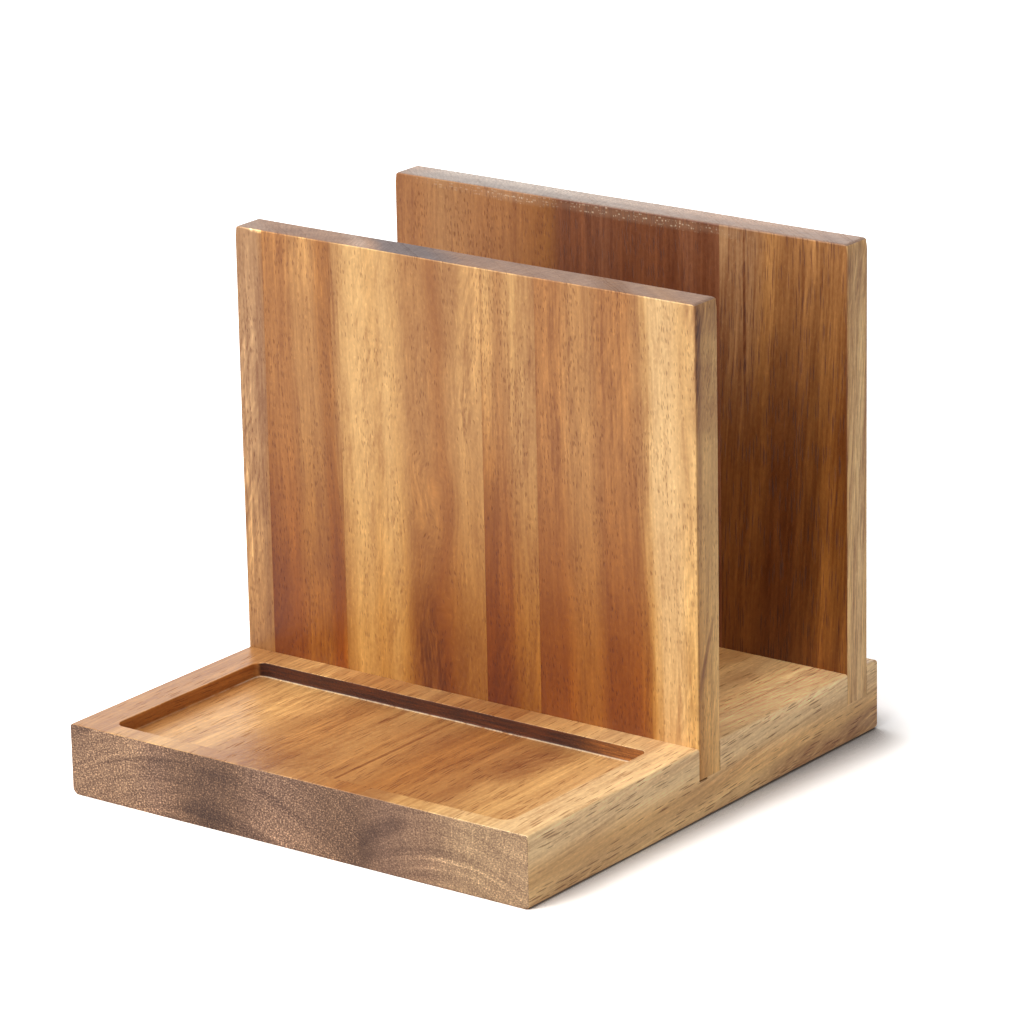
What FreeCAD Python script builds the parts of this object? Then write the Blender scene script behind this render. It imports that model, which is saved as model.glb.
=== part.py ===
import FreeCAD, Part
import Sketcher
import os

# Upright napkin holder on a wooden base with a routed tray in front.
#
# The base and both upright panels are boards glued up edge to edge from solid
# acacia staves.  The staves of the base run front to back, so its front and
# back show end grain.  The staves of the panels stand upright.  Each panel
# stands in a groove across the whole base and is held by two countersunk
# wood screws from below.
#
# Frame: millimetres, +Z up, the origin on the table at the middle of the
# footprint, the tray towards -Y.

V = FreeCAD.Vector
doc = FreeCAD.newDocument("napkin_holder")

# --------------------------------------------------------------- sizes

SIZES = [
    ("width", 178.0, "base and panels along X"),
    ("base_thickness", 23.5, "height of the base board"),
    ("panel_thickness", 11.3, "both upright panels"),
    ("panel_rise", 141.5, "panels above the top of the base"),
    ("tray_front_rim", 7.2, "base front to tray"),
    ("tray_reach", 71.7, "tray along Y"),
    ("tray_back_rim", 10.1, "tray to front panel"),
    ("tray_side_rim", 12.4, "base side to tray"),
    ("tray_depth", 4.8, "tray below the base top"),
    ("tray_corner", 3.6, "radius of the tray's corners, left by the cutter"),
    ("tray_cove", 0.8, "radius between tray wall and tray floor"),
    ("tray_rim_ease", 0.4, "broken edge round the tray"),
    ("napkin_gap", 72.1, "between the panels"),
    ("rear_lip", 6.8, "rear panel to base back"),
    ("groove_depth", 10.2, "grooves that the panels stand in"),
    ("groove_clearance", 0.15, "groove wider than the panel, for glue"),
    ("base_stave_1", 114.3, "width of the left base stave"),
    ("front_stave_1", 11.0, "front panel staves, from the left;"),
    ("front_stave_2", 30.2, "the last one takes what is left"),
    ("front_stave_3", 55.9, "of the width"),
    ("front_stave_4", 20.9, ""),
    ("rear_stave_1", 67.0, "rear panel staves, from the left;"),
    ("rear_stave_2", 62.5, "the last one takes what is left"),
    ("foot_round", 2.0, "long lower edges of the base"),
    ("long_ease", 1.0, "long upper edges of the base"),
    ("end_ease", 0.5, "edges of the base's end grain"),
    ("panel_corner", 1.2, "upper outer corners of the panels"),
    ("panel_ease", 0.6, "edges of the panels' faces"),
    ("screw_spacing", 120.0, "between the two screws of a panel"),
    ("screw_recess", 0.8, "screw heads below the underside"),
    ("screw_length", 32.0, "over all"),
    ("screw_radius", 1.75, "outside of the thread"),
    ("head_radius", 3.5, "countersunk head"),
    ("head_height", 1.9, "cone of the head"),
    ("tip_length", 4.0, "point of the screw"),
    ("hole_clearance", 0.1, "holes wider than the screws, in radius"),
    ("drive_span", 3.8, "across the cross recess"),
    ("drive_width", 0.9, "each slot of the cross recess"),
    ("drive_depth", 1.6, "cross recess"),
]

sheet = doc.addObject("Spreadsheet::Sheet", "Sizes")
for row, (alias, size, meaning) in enumerate(SIZES, start=1):
    sheet.set(f"A{row}", alias)
    sheet.set(f"B{row}", str(size))
    sheet.setAlias(f"B{row}", alias)
    sheet.set(f"C{row}", meaning)
doc.recompute()


def of(alias):
    """The expression of one size."""
    return f"Sizes.{alias}"


def total(*terms):
    """The expression of a sum."""
    return "(" + " + ".join(terms) + ")"


def less(first, *rest):
    """The expression of a difference."""
    return "(" + " - ".join((first,) + rest) + ")"


def value(expression):
    """What an expression comes to, in millimetres."""
    return float(sheet.evalExpression(expression))


# Places along Y, from the front of the base, and the planes that follow.
DEPTH = total(of("tray_front_rim"), of("tray_reach"), of("tray_back_rim"),
              of("panel_thickness"), of("napkin_gap"), of("panel_thickness"), of("rear_lip"))
LEFT = f"(-{of('width')} / 2)"
FRONT = f"(-{DEPTH} / 2)"
TRAY_FRONT = total(FRONT, of("tray_front_rim"))
FRONT_PANEL = total(TRAY_FRONT, of("tray_reach"), of("tray_back_rim"))
REAR_PANEL = total(FRONT_PANEL, of("panel_thickness"), of("napkin_gap"))
GROOVE_FLOOR = less(of("base_thickness"), of("groove_depth"))
TRAY_FLOOR = less(of("base_thickness"), of("tray_depth"))
PANEL_TOP = total(of("base_thickness"), of("panel_rise"))


def stave_spans(aliases):
    """(left, width) expressions of the staves side by side; the last takes the rest."""
    spans = []
    left = LEFT
    used = []
    for alias in aliases:
        spans.append((left, of(alias)))
        used.append(of(alias))
        left = total(left, of(alias))
    spans.append((left, less(of("width"), *used)))
    return spans


# ------------------------------------------------------ building blocks

def origin_plane(body, role):
    return next(f for f in body.Origin.OriginFeatures if f.Role == role)


def place_on_floor(feature, body, height, x=None, y=None):
    """Attaches a feature to its body's XY plane, at a height and a place over it."""
    feature.AttachmentSupport = [(origin_plane(body, "XY_Plane"), "")]
    feature.MapMode = "FlatFace"
    feature.setExpression("AttachmentOffset.Base.z", height)
    if x is not None:
        feature.setExpression("AttachmentOffset.Base.x", x)
        feature.setExpression("AttachmentOffset.Base.y", y)


def rectangle(body, name, height, left, front, along_x, along_y):
    """A horizontal sketch of one rectangle, held by four dimensions."""
    sketch = body.newObject("Sketcher::SketchObject", name)
    place_on_floor(sketch, body, height)
    x0, y0 = value(left), value(front)
    x1, y1 = x0 + value(along_x), y0 + value(along_y)
    corners = [V(x0, y0, 0), V(x1, y0, 0), V(x1, y1, 0), V(x0, y1, 0)]
    for i in range(4):
        sketch.addGeometry(Part.LineSegment(corners[i], corners[(i + 1) % 4]), False)
    for i in range(4):
        sketch.addConstraint(Sketcher.Constraint("Coincident", i, 2, (i + 1) % 4, 1))
    for i, direction in enumerate(("Horizontal", "Vertical", "Horizontal", "Vertical")):
        sketch.addConstraint(Sketcher.Constraint(direction, i))
    dimensions = (
        (left, Sketcher.Constraint("DistanceX", -1, 1, 0, 1, x0)),
        (front, Sketcher.Constraint("DistanceY", -1, 1, 0, 1, y0)),
        (along_x, Sketcher.Constraint("DistanceX", 0, 1, 0, 2, x1 - x0)),
        (along_y, Sketcher.Constraint("DistanceY", 1, 1, 1, 2, y1 - y0)),
    )
    for expression, constraint in dimensions:
        index = sketch.addConstraint(constraint)
        sketch.setExpression(f"Constraints[{index}]", expression)
    return sketch


def pad(body, sketch, height):
    feature = body.newObject("PartDesign::Pad", sketch.Name + "Pad")
    feature.Profile = sketch
    feature.setExpression("Length", height)
    doc.recompute()
    return feature


def pocket(body, sketch, depth):
    """Cuts a sketch downwards, and makes sure that it cut something."""
    before = body.Shape.Volume
    feature = body.newObject("PartDesign::Pocket", sketch.Name + "Pocket")
    feature.Profile = sketch
    feature.setExpression("Length", depth)
    doc.recompute()
    if not body.Shape.Volume < before:
        raise RuntimeError(f"{body.Label}: {sketch.Name} cuts nothing")
    return feature


def drill(body, name, height, x, y, radius, depth):
    """A round hole that goes up from a height."""
    hole = body.newObject("PartDesign::SubtractiveCylinder", name)
    place_on_floor(hole, body, height, x, y)
    hole.setExpression("Radius", radius)
    hole.setExpression("Height", depth)
    doc.recompute()
    return hole


def countersink(body, name, height, x, y):
    """The cone that a screw's head seats in."""
    cone = body.newObject("PartDesign::SubtractiveCone", name)
    place_on_floor(cone, body, height, x, y)
    cone.setExpression("Radius1", of("head_radius"))
    cone.setExpression("Radius2", of("screw_radius"))
    cone.setExpression("Height", of("head_height"))
    doc.recompute()
    return cone


NEAR = 1e-4  # mm within which two places are the same


def same(a, b):
    return abs(a - b) < NEAR


def round_edges(body, name, radius, wanted):
    """Rounds the edges of the body for which wanted(box) is true."""
    base = body.Tip
    names = [
        f"Edge{i}"
        for i, edge in enumerate(base.Shape.Edges, start=1)
        if wanted(edge.BoundBox)
    ]
    if not names:
        return None
    fillet = body.newObject("PartDesign::Fillet", name)
    fillet.Base = (base, names)
    fillet.setExpression("Radius", radius)
    doc.recompute()
    return fillet


def flat_in(low, high, place):
    """True where a box is flat and lies at a place."""
    return same(low, place) and same(high, place)


def outer_sides(left, along_x):
    """The stave's side faces that are not glued to a neighbour."""
    x0 = value(left)
    x1 = x0 + value(along_x)
    return [x for x, end in ((x0, value(LEFT)), (x1, -value(LEFT))) if same(x, end)]


def ease_side_edges(body, name, radius, sides, height):
    """Rounds the edges that run along Y at a height, on the outer sides."""
    round_edges(body, name, radius, lambda b: (
        any(flat_in(b.XMin, b.XMax, x) for x in sides) and flat_in(b.ZMin, b.ZMax, height)))


def ease_faces(body, name, radius, glued, front, back, lowest=None):
    """Breaks the edges round the front and back faces, but not those on a glued side."""
    def wanted(b):
        on_face = flat_in(b.YMin, b.YMax, front) or flat_in(b.YMin, b.YMax, back)
        on_joint = any(flat_in(b.XMin, b.XMax, x) for x in glued)
        in_groove = lowest is not None and flat_in(b.ZMin, b.ZMax, lowest)
        return on_face and not on_joint and not in_groove
    round_edges(body, name, radius, wanted)


def new_body(label):
    body = doc.addObject("PartDesign::Body", label)
    body.Label = label
    return body


# Screw places: two in each panel, on the panel's middle line.
SCREW_X = (f"(-{of('screw_spacing')} / 2)", f"({of('screw_spacing')} / 2)")
SCREW_Y = {
    "front": total(FRONT_PANEL, f"{of('panel_thickness')} / 2"),
    "rear": total(REAR_PANEL, f"{of('panel_thickness')} / 2"),
}
SHANK_HOLE = total(of("screw_radius"), of("hole_clearance"))


def screws_in(left, along_x, reach):
    """The screw places whose holes reach into a stave."""
    x0 = value(left)
    x1 = x0 + value(along_x)
    return [x for x in SCREW_X if x0 - value(reach) < value(x) < x1 + value(reach)]


# --------------------------------------------------------- base staves

def base_stave(label, left, along_x):
    """A base stave with its share of the tray, the grooves and the screw holes."""
    body = new_body(label)
    board = rectangle(body, label + "_board", "0", left, FRONT, along_x, DEPTH)
    pad(body, board, of("base_thickness"))

    x0 = value(left)
    x1 = x0 + value(along_x)
    sides = outer_sides(left, along_x)
    glued = [x for x in (x0, x1) if x not in sides]
    top = value(of("base_thickness"))
    ease_side_edges(body, label + "_foot", of("foot_round"), sides, 0)
    ease_side_edges(body, label + "_long", of("long_ease"), sides, top)
    ease_faces(body, label + "_ends", of("end_ease"), glued, value(FRONT), -value(FRONT))

    tray_left = total(LEFT, of("tray_side_rim"))
    tray_width = less(of("width"), of("tray_side_rim"), of("tray_side_rim"))
    outline = rectangle(body, label + "_tray", of("base_thickness"),
                        tray_left, TRAY_FRONT, tray_width, of("tray_reach"))
    pocket(body, outline, of("tray_depth"))
    tray_ends = [value(tray_left), -value(tray_left)]
    tray_front = value(TRAY_FRONT)
    tray_back = tray_front + value(of("tray_reach"))
    floor = value(TRAY_FLOOR)

    def in_tray(b):
        inside = b.YMin > tray_front - NEAR and b.YMax < tray_back + NEAR
        return inside and not any(flat_in(b.XMin, b.XMax, x) for x in glued)

    round_edges(body, label + "_tray_corner", of("tray_corner"), lambda b: (
        in_tray(b) and any(flat_in(b.XMin, b.XMax, x) for x in tray_ends)
        and same(b.ZMin, floor) and same(b.ZMax, top)))
    round_edges(body, label + "_tray_cove", of("tray_cove"), lambda b: (
        in_tray(b) and flat_in(b.ZMin, b.ZMax, floor)))
    round_edges(body, label + "_tray_rim", of("tray_rim_ease"), lambda b: (
        in_tray(b) and flat_in(b.ZMin, b.ZMax, top)))

    for row, panel_front in (("front", FRONT_PANEL), ("rear", REAR_PANEL)):
        groove_front = less(panel_front, f"{of('groove_clearance')} / 2")
        groove_width = total(of("panel_thickness"), of("groove_clearance"))
        groove = rectangle(body, f"{label}_{row}_groove", of("base_thickness"),
                           left, groove_front, along_x, groove_width)
        pocket(body, groove, of("groove_depth"))

    for row, y in SCREW_Y.items():
        for i, x in enumerate(screws_in(left, along_x, of("head_radius"))):
            drill(body, f"{label}_{row}_recess_{i}", "0", x, y,
                  of("head_radius"), of("screw_recess"))
            countersink(body, f"{label}_{row}_sink_{i}", of("screw_recess"), x, y)
            drill(body, f"{label}_{row}_hole_{i}", "0", x, y, SHANK_HOLE, GROOVE_FLOOR)
    return body


# -------------------------------------------------------- panel staves

def panel_stave(label, row, panel_front, left, along_x):
    """An upright stave that stands on the floor of its groove."""
    body = new_body(label)
    board = rectangle(body, label + "_board", GROOVE_FLOOR, left, panel_front,
                      along_x, of("panel_thickness"))
    pad(body, board, total(of("groove_depth"), of("panel_rise")))

    x0 = value(left)
    x1 = x0 + value(along_x)
    sides = outer_sides(left, along_x)
    glued = [x for x in (x0, x1) if x not in sides]
    front = value(panel_front)
    back = front + value(of("panel_thickness"))
    ease_side_edges(body, label + "_corner", of("panel_corner"), sides, value(PANEL_TOP))
    ease_faces(body, label + "_faces", of("panel_ease"), glued, front, back,
               lowest=value(GROOVE_FLOOR))

    screw_top = total(of("screw_recess"), of("screw_length"))
    for i, x in enumerate(screws_in(left, along_x, of("screw_radius"))):
        drill(body, f"{label}_pilot_{i}", GROOVE_FLOOR, x, SCREW_Y[row], SHANK_HOLE,
              less(screw_top, GROOVE_FLOOR))
    return body


# -------------------------------------------------------------- screws

def screw(name, x, y):
    """A countersunk wood screw, head down, with a cross recess."""
    head = doc.addObject("Part::Cone", name + "_head")
    head.setExpression("Radius1", of("head_radius"))
    head.setExpression("Radius2", of("screw_radius"))
    head.setExpression("Height", of("head_height"))

    shank = doc.addObject("Part::Cylinder", name + "_shank")
    shank.setExpression("Radius", of("screw_radius"))
    shank.setExpression("Height", less(of("screw_length"), of("head_height"), of("tip_length")))
    shank.setExpression("Placement.Base.z", of("head_height"))

    tip = doc.addObject("Part::Cone", name + "_tip")
    tip.setExpression("Radius1", of("screw_radius"))
    tip.Radius2 = 0
    tip.setExpression("Height", of("tip_length"))
    tip.setExpression("Placement.Base.z", less(of("screw_length"), of("tip_length")))

    solid = doc.addObject("Part::MultiFuse", name + "_solid")
    solid.Shapes = [head, shank, tip]

    slots = []
    for axis, across in (("x", "y"), ("y", "x")):
        slot = doc.addObject("Part::Box", f"{name}_slot_{axis}")
        sizes = {axis: of("drive_span"), across: of("drive_width")}
        slot.setExpression("Length", sizes["x"])
        slot.setExpression("Width", sizes["y"])
        slot.setExpression("Height", of("drive_depth"))
        for way, size in sizes.items():
            slot.setExpression(f"Placement.Base.{way}", f"-{size} / 2")
        slots.append(slot)
    recess = doc.addObject("Part::MultiFuse", name + "_recess")
    recess.Shapes = slots

    finished = doc.addObject("Part::Cut", name)
    finished.Base = solid
    finished.Tool = recess
    finished.setExpression("Placement.Base.x", x)
    finished.setExpression("Placement.Base.y", y)
    finished.setExpression("Placement.Base.z", of("screw_recess"))
    return finished


# ------------------------------------------------------------ assembly

nodes = []
for side, (left, along_x) in zip(("left", "right"), stave_spans(["base_stave_1"])):
    nodes.append(base_stave(f"base_stave_{side}", left, along_x))

PANELS = {
    "front": (FRONT_PANEL, ["front_stave_1", "front_stave_2", "front_stave_3", "front_stave_4"]),
    "rear": (REAR_PANEL, ["rear_stave_1", "rear_stave_2"]),
}
for row, (panel_front, aliases) in PANELS.items():
    for i, (left, along_x) in enumerate(stave_spans(aliases), start=1):
        nodes.append(panel_stave(f"{row}_panel_stave_{i}", row, panel_front, left, along_x))

screws = doc.addObject("Part::Compound", "panel_screws")
screws.Label = "panel_screws"
screws.Links = [
    screw(f"screw_{row}_{i}", x, y)
    for row, y in SCREW_Y.items()
    for i, x in enumerate(SCREW_X, start=1)
]
nodes.append(screws)
doc.recompute()

# -------------------------------------------------------------- export

for item in doc.Objects:
    if "Invalid" in item.State or "Error" in item.State:
        raise RuntimeError(f"{item.Label} failed: {item.State}")
for node in nodes:
    if node.Shape.isNull() or not node.Shape.isValid():
        raise RuntimeError(f"{node.Label} has no valid shape")

os.makedirs("parts", exist_ok=True)
for node in nodes:
    node.Shape.exportStep(f"parts/{node.Label}.step")
    print(f"{node.Label}: {len(node.Shape.Solids)} solid(s), {node.Shape.Volume / 1000:.2f} cm3")
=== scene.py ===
"""Dresses the tabletop napkin holder round its CAD frame: acacia boards, hidden screws and a plain stage.

Lengths inside the builders are millimetres, in the frame's own axes: X to the right along the panels,
Y from the tray to the back, Z up from the table. Meshes and lights are handed to Blender in metres.
"""

import math
from typing import NamedTuple

import bmesh
import bpy
import numpy as np
from bpy.props import FloatProperty, FloatVectorProperty, PointerProperty
from mathutils import Matrix, Vector


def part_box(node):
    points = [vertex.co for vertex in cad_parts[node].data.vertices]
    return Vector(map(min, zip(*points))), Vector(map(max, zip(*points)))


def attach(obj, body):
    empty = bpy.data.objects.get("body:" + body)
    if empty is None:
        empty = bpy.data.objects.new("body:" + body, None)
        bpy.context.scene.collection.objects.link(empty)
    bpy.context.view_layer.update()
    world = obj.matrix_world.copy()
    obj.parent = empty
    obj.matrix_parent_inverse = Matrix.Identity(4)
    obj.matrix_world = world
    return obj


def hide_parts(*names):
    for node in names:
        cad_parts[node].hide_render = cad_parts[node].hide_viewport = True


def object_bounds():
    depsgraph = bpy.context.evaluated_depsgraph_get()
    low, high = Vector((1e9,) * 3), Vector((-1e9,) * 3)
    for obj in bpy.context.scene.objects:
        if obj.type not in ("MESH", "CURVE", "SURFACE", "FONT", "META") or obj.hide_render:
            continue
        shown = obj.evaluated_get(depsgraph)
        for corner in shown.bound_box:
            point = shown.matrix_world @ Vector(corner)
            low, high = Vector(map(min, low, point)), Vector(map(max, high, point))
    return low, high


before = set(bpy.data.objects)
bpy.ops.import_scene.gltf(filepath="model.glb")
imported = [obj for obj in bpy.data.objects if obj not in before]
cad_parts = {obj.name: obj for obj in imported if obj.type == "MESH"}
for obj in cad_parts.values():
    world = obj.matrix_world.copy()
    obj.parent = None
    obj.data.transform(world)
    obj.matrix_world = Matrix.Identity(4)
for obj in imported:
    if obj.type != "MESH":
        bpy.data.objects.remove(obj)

bl_info = {
    "name": "Acacia Napkin Holder",
    "version": (1, 0, 0),
    "blender": (4, 5, 0),
    "location": "3D View > Sidebar > Holder",
    "description": "Makes the boards, screws and stage of a napkin holder with a routed tray",
    "category": "Object",
}

MM = 0.001
CAD_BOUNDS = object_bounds()
ROOT = "root"
SHARP_ANGLE = 38.0       # degrees between two faces from which their edge is drawn sharp
MERGE_REACH = 0.0001     # millimetres within which points of a new mesh are one
CUT_OVERSHOOT = 5.0      # millimetres that a cutter reaches past the boards' sides


def box_mm(node):
    """Lowest and highest corner of a CAD node, in millimetres."""
    low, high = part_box(node)
    return np.array(low) / MM, np.array(high) / MM


# ---------------------------------------------------------------- sizes and colours a user would change


def length_property(label, millimetres, words):
    """A length of the holder, shown in the scene's own units."""
    return FloatProperty(name=label, description=words, default=millimetres * MM,
                         min=0.0, unit="LENGTH", precision=5)


def linear(red, green, blue):
    """Linear light of a colour given as 0 to 255 on screen: ((c + 0.055) / 1.055) ** 2.4 above the toe."""
    return tuple(((c / 255 + 0.055) / 1.055) ** 2.4 for c in (red, green, blue))


def tone_property(label, red, green, blue, words):
    """A tone of the wood or metal, as a colour swatch."""
    return FloatVectorProperty(name=label, description=words, default=linear(red, green, blue),
                               min=0.0, max=1.0, size=3, subtype="COLOR")


class HolderSizes(bpy.types.PropertyGroup):
    """Small shapes that hand sanding and routing leave on the boards."""

    panel_edge: length_property("Panel edge", 0.7, "Radius sanded on the faces' edges of a panel")
    panel_corner: length_property("Panel corner", 1.8, "Radius of a panel's two top corners")
    base_end_edge: length_property("Base end edge", 0.5, "Radius on the front end grain edges of the base")
    base_rear_edge: length_property("Base rear edge", 1.0, "Radius on the rear end grain edges of the base")
    base_top_edge: length_property("Base top edge", 1.0, "Radius on the base's long upper edges")
    base_foot_edge: length_property("Base foot edge", 2.0, "Radius on the base's long lower edges")
    glue_line: length_property("Glue line", 0.05, "Edge left on each stave at a glued seam")
    tray_side: length_property("Tray side", 12.4, "Rim left of and right of the tray")
    tray_front: length_property("Tray front", 7.2, "Rim in front of the tray")
    tray_back: length_property("Tray back", 10.1, "Rim between the tray and the front panel")
    tray_depth: length_property("Tray depth", 4.8, "Depth of the routed tray")
    tray_corner: length_property("Tray corner", 3.6, "Radius of the tray's corners, seen from above")
    tray_tight_corner: length_property("Tray tight corner", 2.16, "Radius of its right rear corner")
    tray_cove: length_property("Tray cove", 0.8, "Radius where the tray's walls meet its floor")
    tray_rim: length_property("Tray rim", 0.4, "Radius sanded on the tray's upper edge")
    groove_room: length_property("Groove room", 0.04, "How much wider a groove is than its panel")
    gap_length: length_property("Gap length", 4.2, "How far back the gap under the front panel's corner goes")
    gap_depth: length_property("Gap depth", 0.5, "How far that gap cuts below the groove")
    gap_reach: length_property("Gap reach", 5.0, "How far in from the right side that gap goes")
    sanding: length_property("Sanding", 0.04, "Deepest hollow that hand sanding leaves on a face")


class HolderFinish(bpy.types.PropertyGroup):
    """Tones of the lacquered acacia and of the plated screws."""

    cream: tone_property("Cream", 242, 202, 146, "Whitest sapwood")
    straw: tone_property("Straw", 233, 188, 128, "Palest sapwood")
    honey: tone_property("Honey", 224, 174, 110, "Pale yellow wood")
    amber: tone_property("Amber", 213, 161, 98, "Yellow brown wood")
    tan: tone_property("Tan", 197, 144, 86, "Light brown wood")
    caramel: tone_property("Caramel", 185, 129, 73, "Plain middle tone")
    russet: tone_property("Russet", 175, 114, 58, "Reddish brown")
    chestnut: tone_property("Chestnut", 164, 103, 47, "Deep red brown")
    umber: tone_property("Umber", 152, 93, 39, "Dark stripe")
    ash: tone_property("Ash", 181, 134, 91, "Greyed wood")
    mahogany: tone_property("Mahogany", 138, 84, 53, "Dark heartwood")
    bark: tone_property("Bark", 118, 67, 29, "Darkest heartwood")
    dusk: tone_property("Dusk", 134, 96, 69, "Brown end grain")
    drift: tone_property("Drift", 162, 124, 94, "Pale greyed end grain")
    shell: tone_property("Shell", 183, 147, 110, "Palest end grain")
    husk: tone_property("Husk", 161, 124, 95, "Pale end grain")
    loam: tone_property("Loam", 131, 97, 73, "Greyed brown end grain")
    clay: tone_property("Clay", 116, 84, 63, "Dark greyed end grain")
    fawn: tone_property("Fawn", 152, 134, 122, "Bleached end grain")
    # Char also stands for painted shade on the tray's recessed walls.
    char: tone_property("Char", 84, 37, 6, "Wood that a router bit has browned")
    sable: tone_property("Sable", 124, 69, 37, "Darkest red heartwood")
    # Chalk also paints the highlight in the tray's cove.
    chalk: tone_property("Chalk", 236, 212, 180, "Sanding dust left in pores and corners")
    moor: tone_property("Moor", 142, 107, 84, "Brown end grain of the base")
    bronze: tone_property("Bronze", 164, 110, 62, "Dull golden brown")
    slate: tone_property("Slate", 112, 96, 92, "Grey stain in end grain")
    heather: tone_property("Heather", 149, 116, 95, "Mauve brown end grain")
    mist: tone_property("Mist", 162, 134, 116, "Pinkish grey end grain")
    walnut: tone_property("Walnut", 131, 79, 34, "Dark golden brown")
    zinc: tone_property("Zinc", 196, 199, 203, "Bright zinc plate")
    dull_zinc: tone_property("Dull zinc", 168, 172, 178, "Zinc plate gone dull")
    lacquer: FloatProperty(name="Lacquer roughness", description="Roughness of the satin lacquer",
                           default=0.36, min=0.0, max=1.0)
    pore_depth: length_property("Pore depth", 0.05, "Depth of an open pore")


# ---------------------------------------------------------------- surfaces as whole arrays


def section_loop(width, thick, radii, arc_steps=5, side_steps=24, end_steps=6):
    """Points round a rectangle whose corners are quarter circles: centre + radius * (cos a, sin a), with
    straight runs of equal steps between them. radii go right front, right rear, left rear, left front."""
    right_front, right_rear, left_rear, left_front = radii
    corners = [(width - right_front, right_front, right_front, -90.0),
               (width - right_rear, thick - right_rear, right_rear, 0.0),
               (left_rear, thick - left_rear, left_rear, 90.0),
               (left_front, left_front, left_front, 180.0)]
    steps = (end_steps, side_steps, end_steps, side_steps)
    arcs = []
    for across, deep, radius, start in corners:
        angle = np.radians(start + np.linspace(0.0, 90.0, arc_steps + 1))
        arcs.append(np.stack([across + radius * np.cos(angle), deep + radius * np.sin(angle)], axis=1))
    runs = []
    for arc, following, count in zip(arcs, arcs[1:] + arcs[:1], steps):
        share = np.linspace(0.0, 1.0, count + 1)[1:-1, None]
        runs += [arc, arc[-1] * (1 - share) + following[0] * share]
    return np.concatenate(runs)


def stations(length, low_radius, high_radius, pitch):
    """Places along a board: r * (1 - sin a) from each end over its eased edge, even steps between."""
    turn = np.sin(np.radians(np.linspace(0.0, 90.0, 7)))
    straight = np.linspace(low_radius, length - high_radius, max(2, int(length / pitch)))
    return np.concatenate([low_radius * (1 - turn[::-1])[:-1], straight,
                           length - high_radius * (1 - turn)[1:]])


def inset(distance, radius):
    """How far an eased edge has drawn in at a distance from the end: r - sqrt(r^2 - (r - d)^2)."""
    reach = np.clip(radius - distance, 0.0, radius)
    return radius - np.sqrt(np.clip(radius ** 2 - reach ** 2, 0.0, None))


def sanding_wave(across, along, seed):
    """Shallow hollows of hand sanding, 0 to 1: two crossing sines whose phases bend each other."""
    first = np.sin(across / 19.0 + 1.3 * np.sin(along / 43.0 + seed))
    second = np.sin(along / 31.0 + 0.9 * np.sin(across / 57.0 - seed))
    return 0.5 + 0.25 * (first + second)


class Board(NamedTuple):
    """One stave before it is cut: its place, its edges, and the ends' edges, all in millimetres."""

    low: tuple           # lowest corner in (across, deep, along)
    size: tuple          # width, thickness, length
    radii: tuple         # long edges: right front, right rear, left rear, left front
    end_edge: tuple      # radius on the low end and on the high end
    left_corner: tuple   # how far the left side draws in at the low end and the high end, 0 at a seam
    right_corner: tuple  # the same for the right side


def board_rings(board, sanding, seed, pitch=2.5):
    """Rings of a stave: its section carried along the grain. The long edges' radii swell and shrink softly
    between 0.8 and 1 of their size. Near each end the section is scaled towards its middle by the eased edge,
    and on both wide faces the sanding wave takes off a little."""
    width, thick, length = board.size
    along = stations(length, board.end_edge[0], board.end_edge[1], pitch)[:, None]
    lean_loop = section_loop(width, thick, [r * 0.8 for r in board.radii])
    full_loop = section_loop(width, thick, board.radii)
    share = (0.5 + 0.5 * np.sin(along / 23.0 + seed))[..., None]
    loop = lean_loop[None] * (1 - share) + full_loop[None] * share
    across, deep = loop[..., 0], loop[..., 1]
    worn = 1 + 0.25 * np.sin((board.low[0] + across) / 13.0 + seed)
    from_low, from_high = along, length - along
    draw = inset(from_low, board.end_edge[0] * worn) + inset(from_high, board.end_edge[1] * worn)
    hollow = sanding * sanding_wave(board.low[0] + across, board.low[2] + along, seed)
    deep = thick / 2 + (deep - thick / 2) * (1 - 2 * (draw + hollow) / thick)
    left = inset(from_low, board.left_corner[0]) + inset(from_high, board.left_corner[1])
    right = inset(from_low, board.right_corner[0]) + inset(from_high, board.right_corner[1])
    across = left + across * (1 - (left + right) / width)
    along = np.broadcast_to(along, across.shape)
    return np.stack([across, deep, along], axis=-1) + np.array(board.low)


def opposite(arc_steps=5, end_steps=6):
    """Point i of a section loop's front half lies across from point opposite - i of its rear half."""
    return 2 * arc_steps + end_steps


def with_flat_ends(rings, across_from=0):
    """Adds a ring at each end that lies on the section's middle line, so that the ends close flat. Point i
    and point across_from - i of a ring meet there, halfway between their own places."""
    caps = []
    partner = (across_from - np.arange(rings.shape[1])) % rings.shape[1]
    for ring in (rings[0], rings[-1]):
        low, high = ring.min(axis=0), ring.max(axis=0)
        half = (high[1] - low[1]) / 2
        cap = ring.copy()
        cap[:, 0] = np.clip((ring[:, 0] + ring[partner, 0]) / 2, low[0] + half, high[0] - half)
        cap[:, 1] = (low[1] + high[1]) / 2
        caps.append(cap)
    return np.concatenate([caps[0][None], rings, caps[1][None]])


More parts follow.
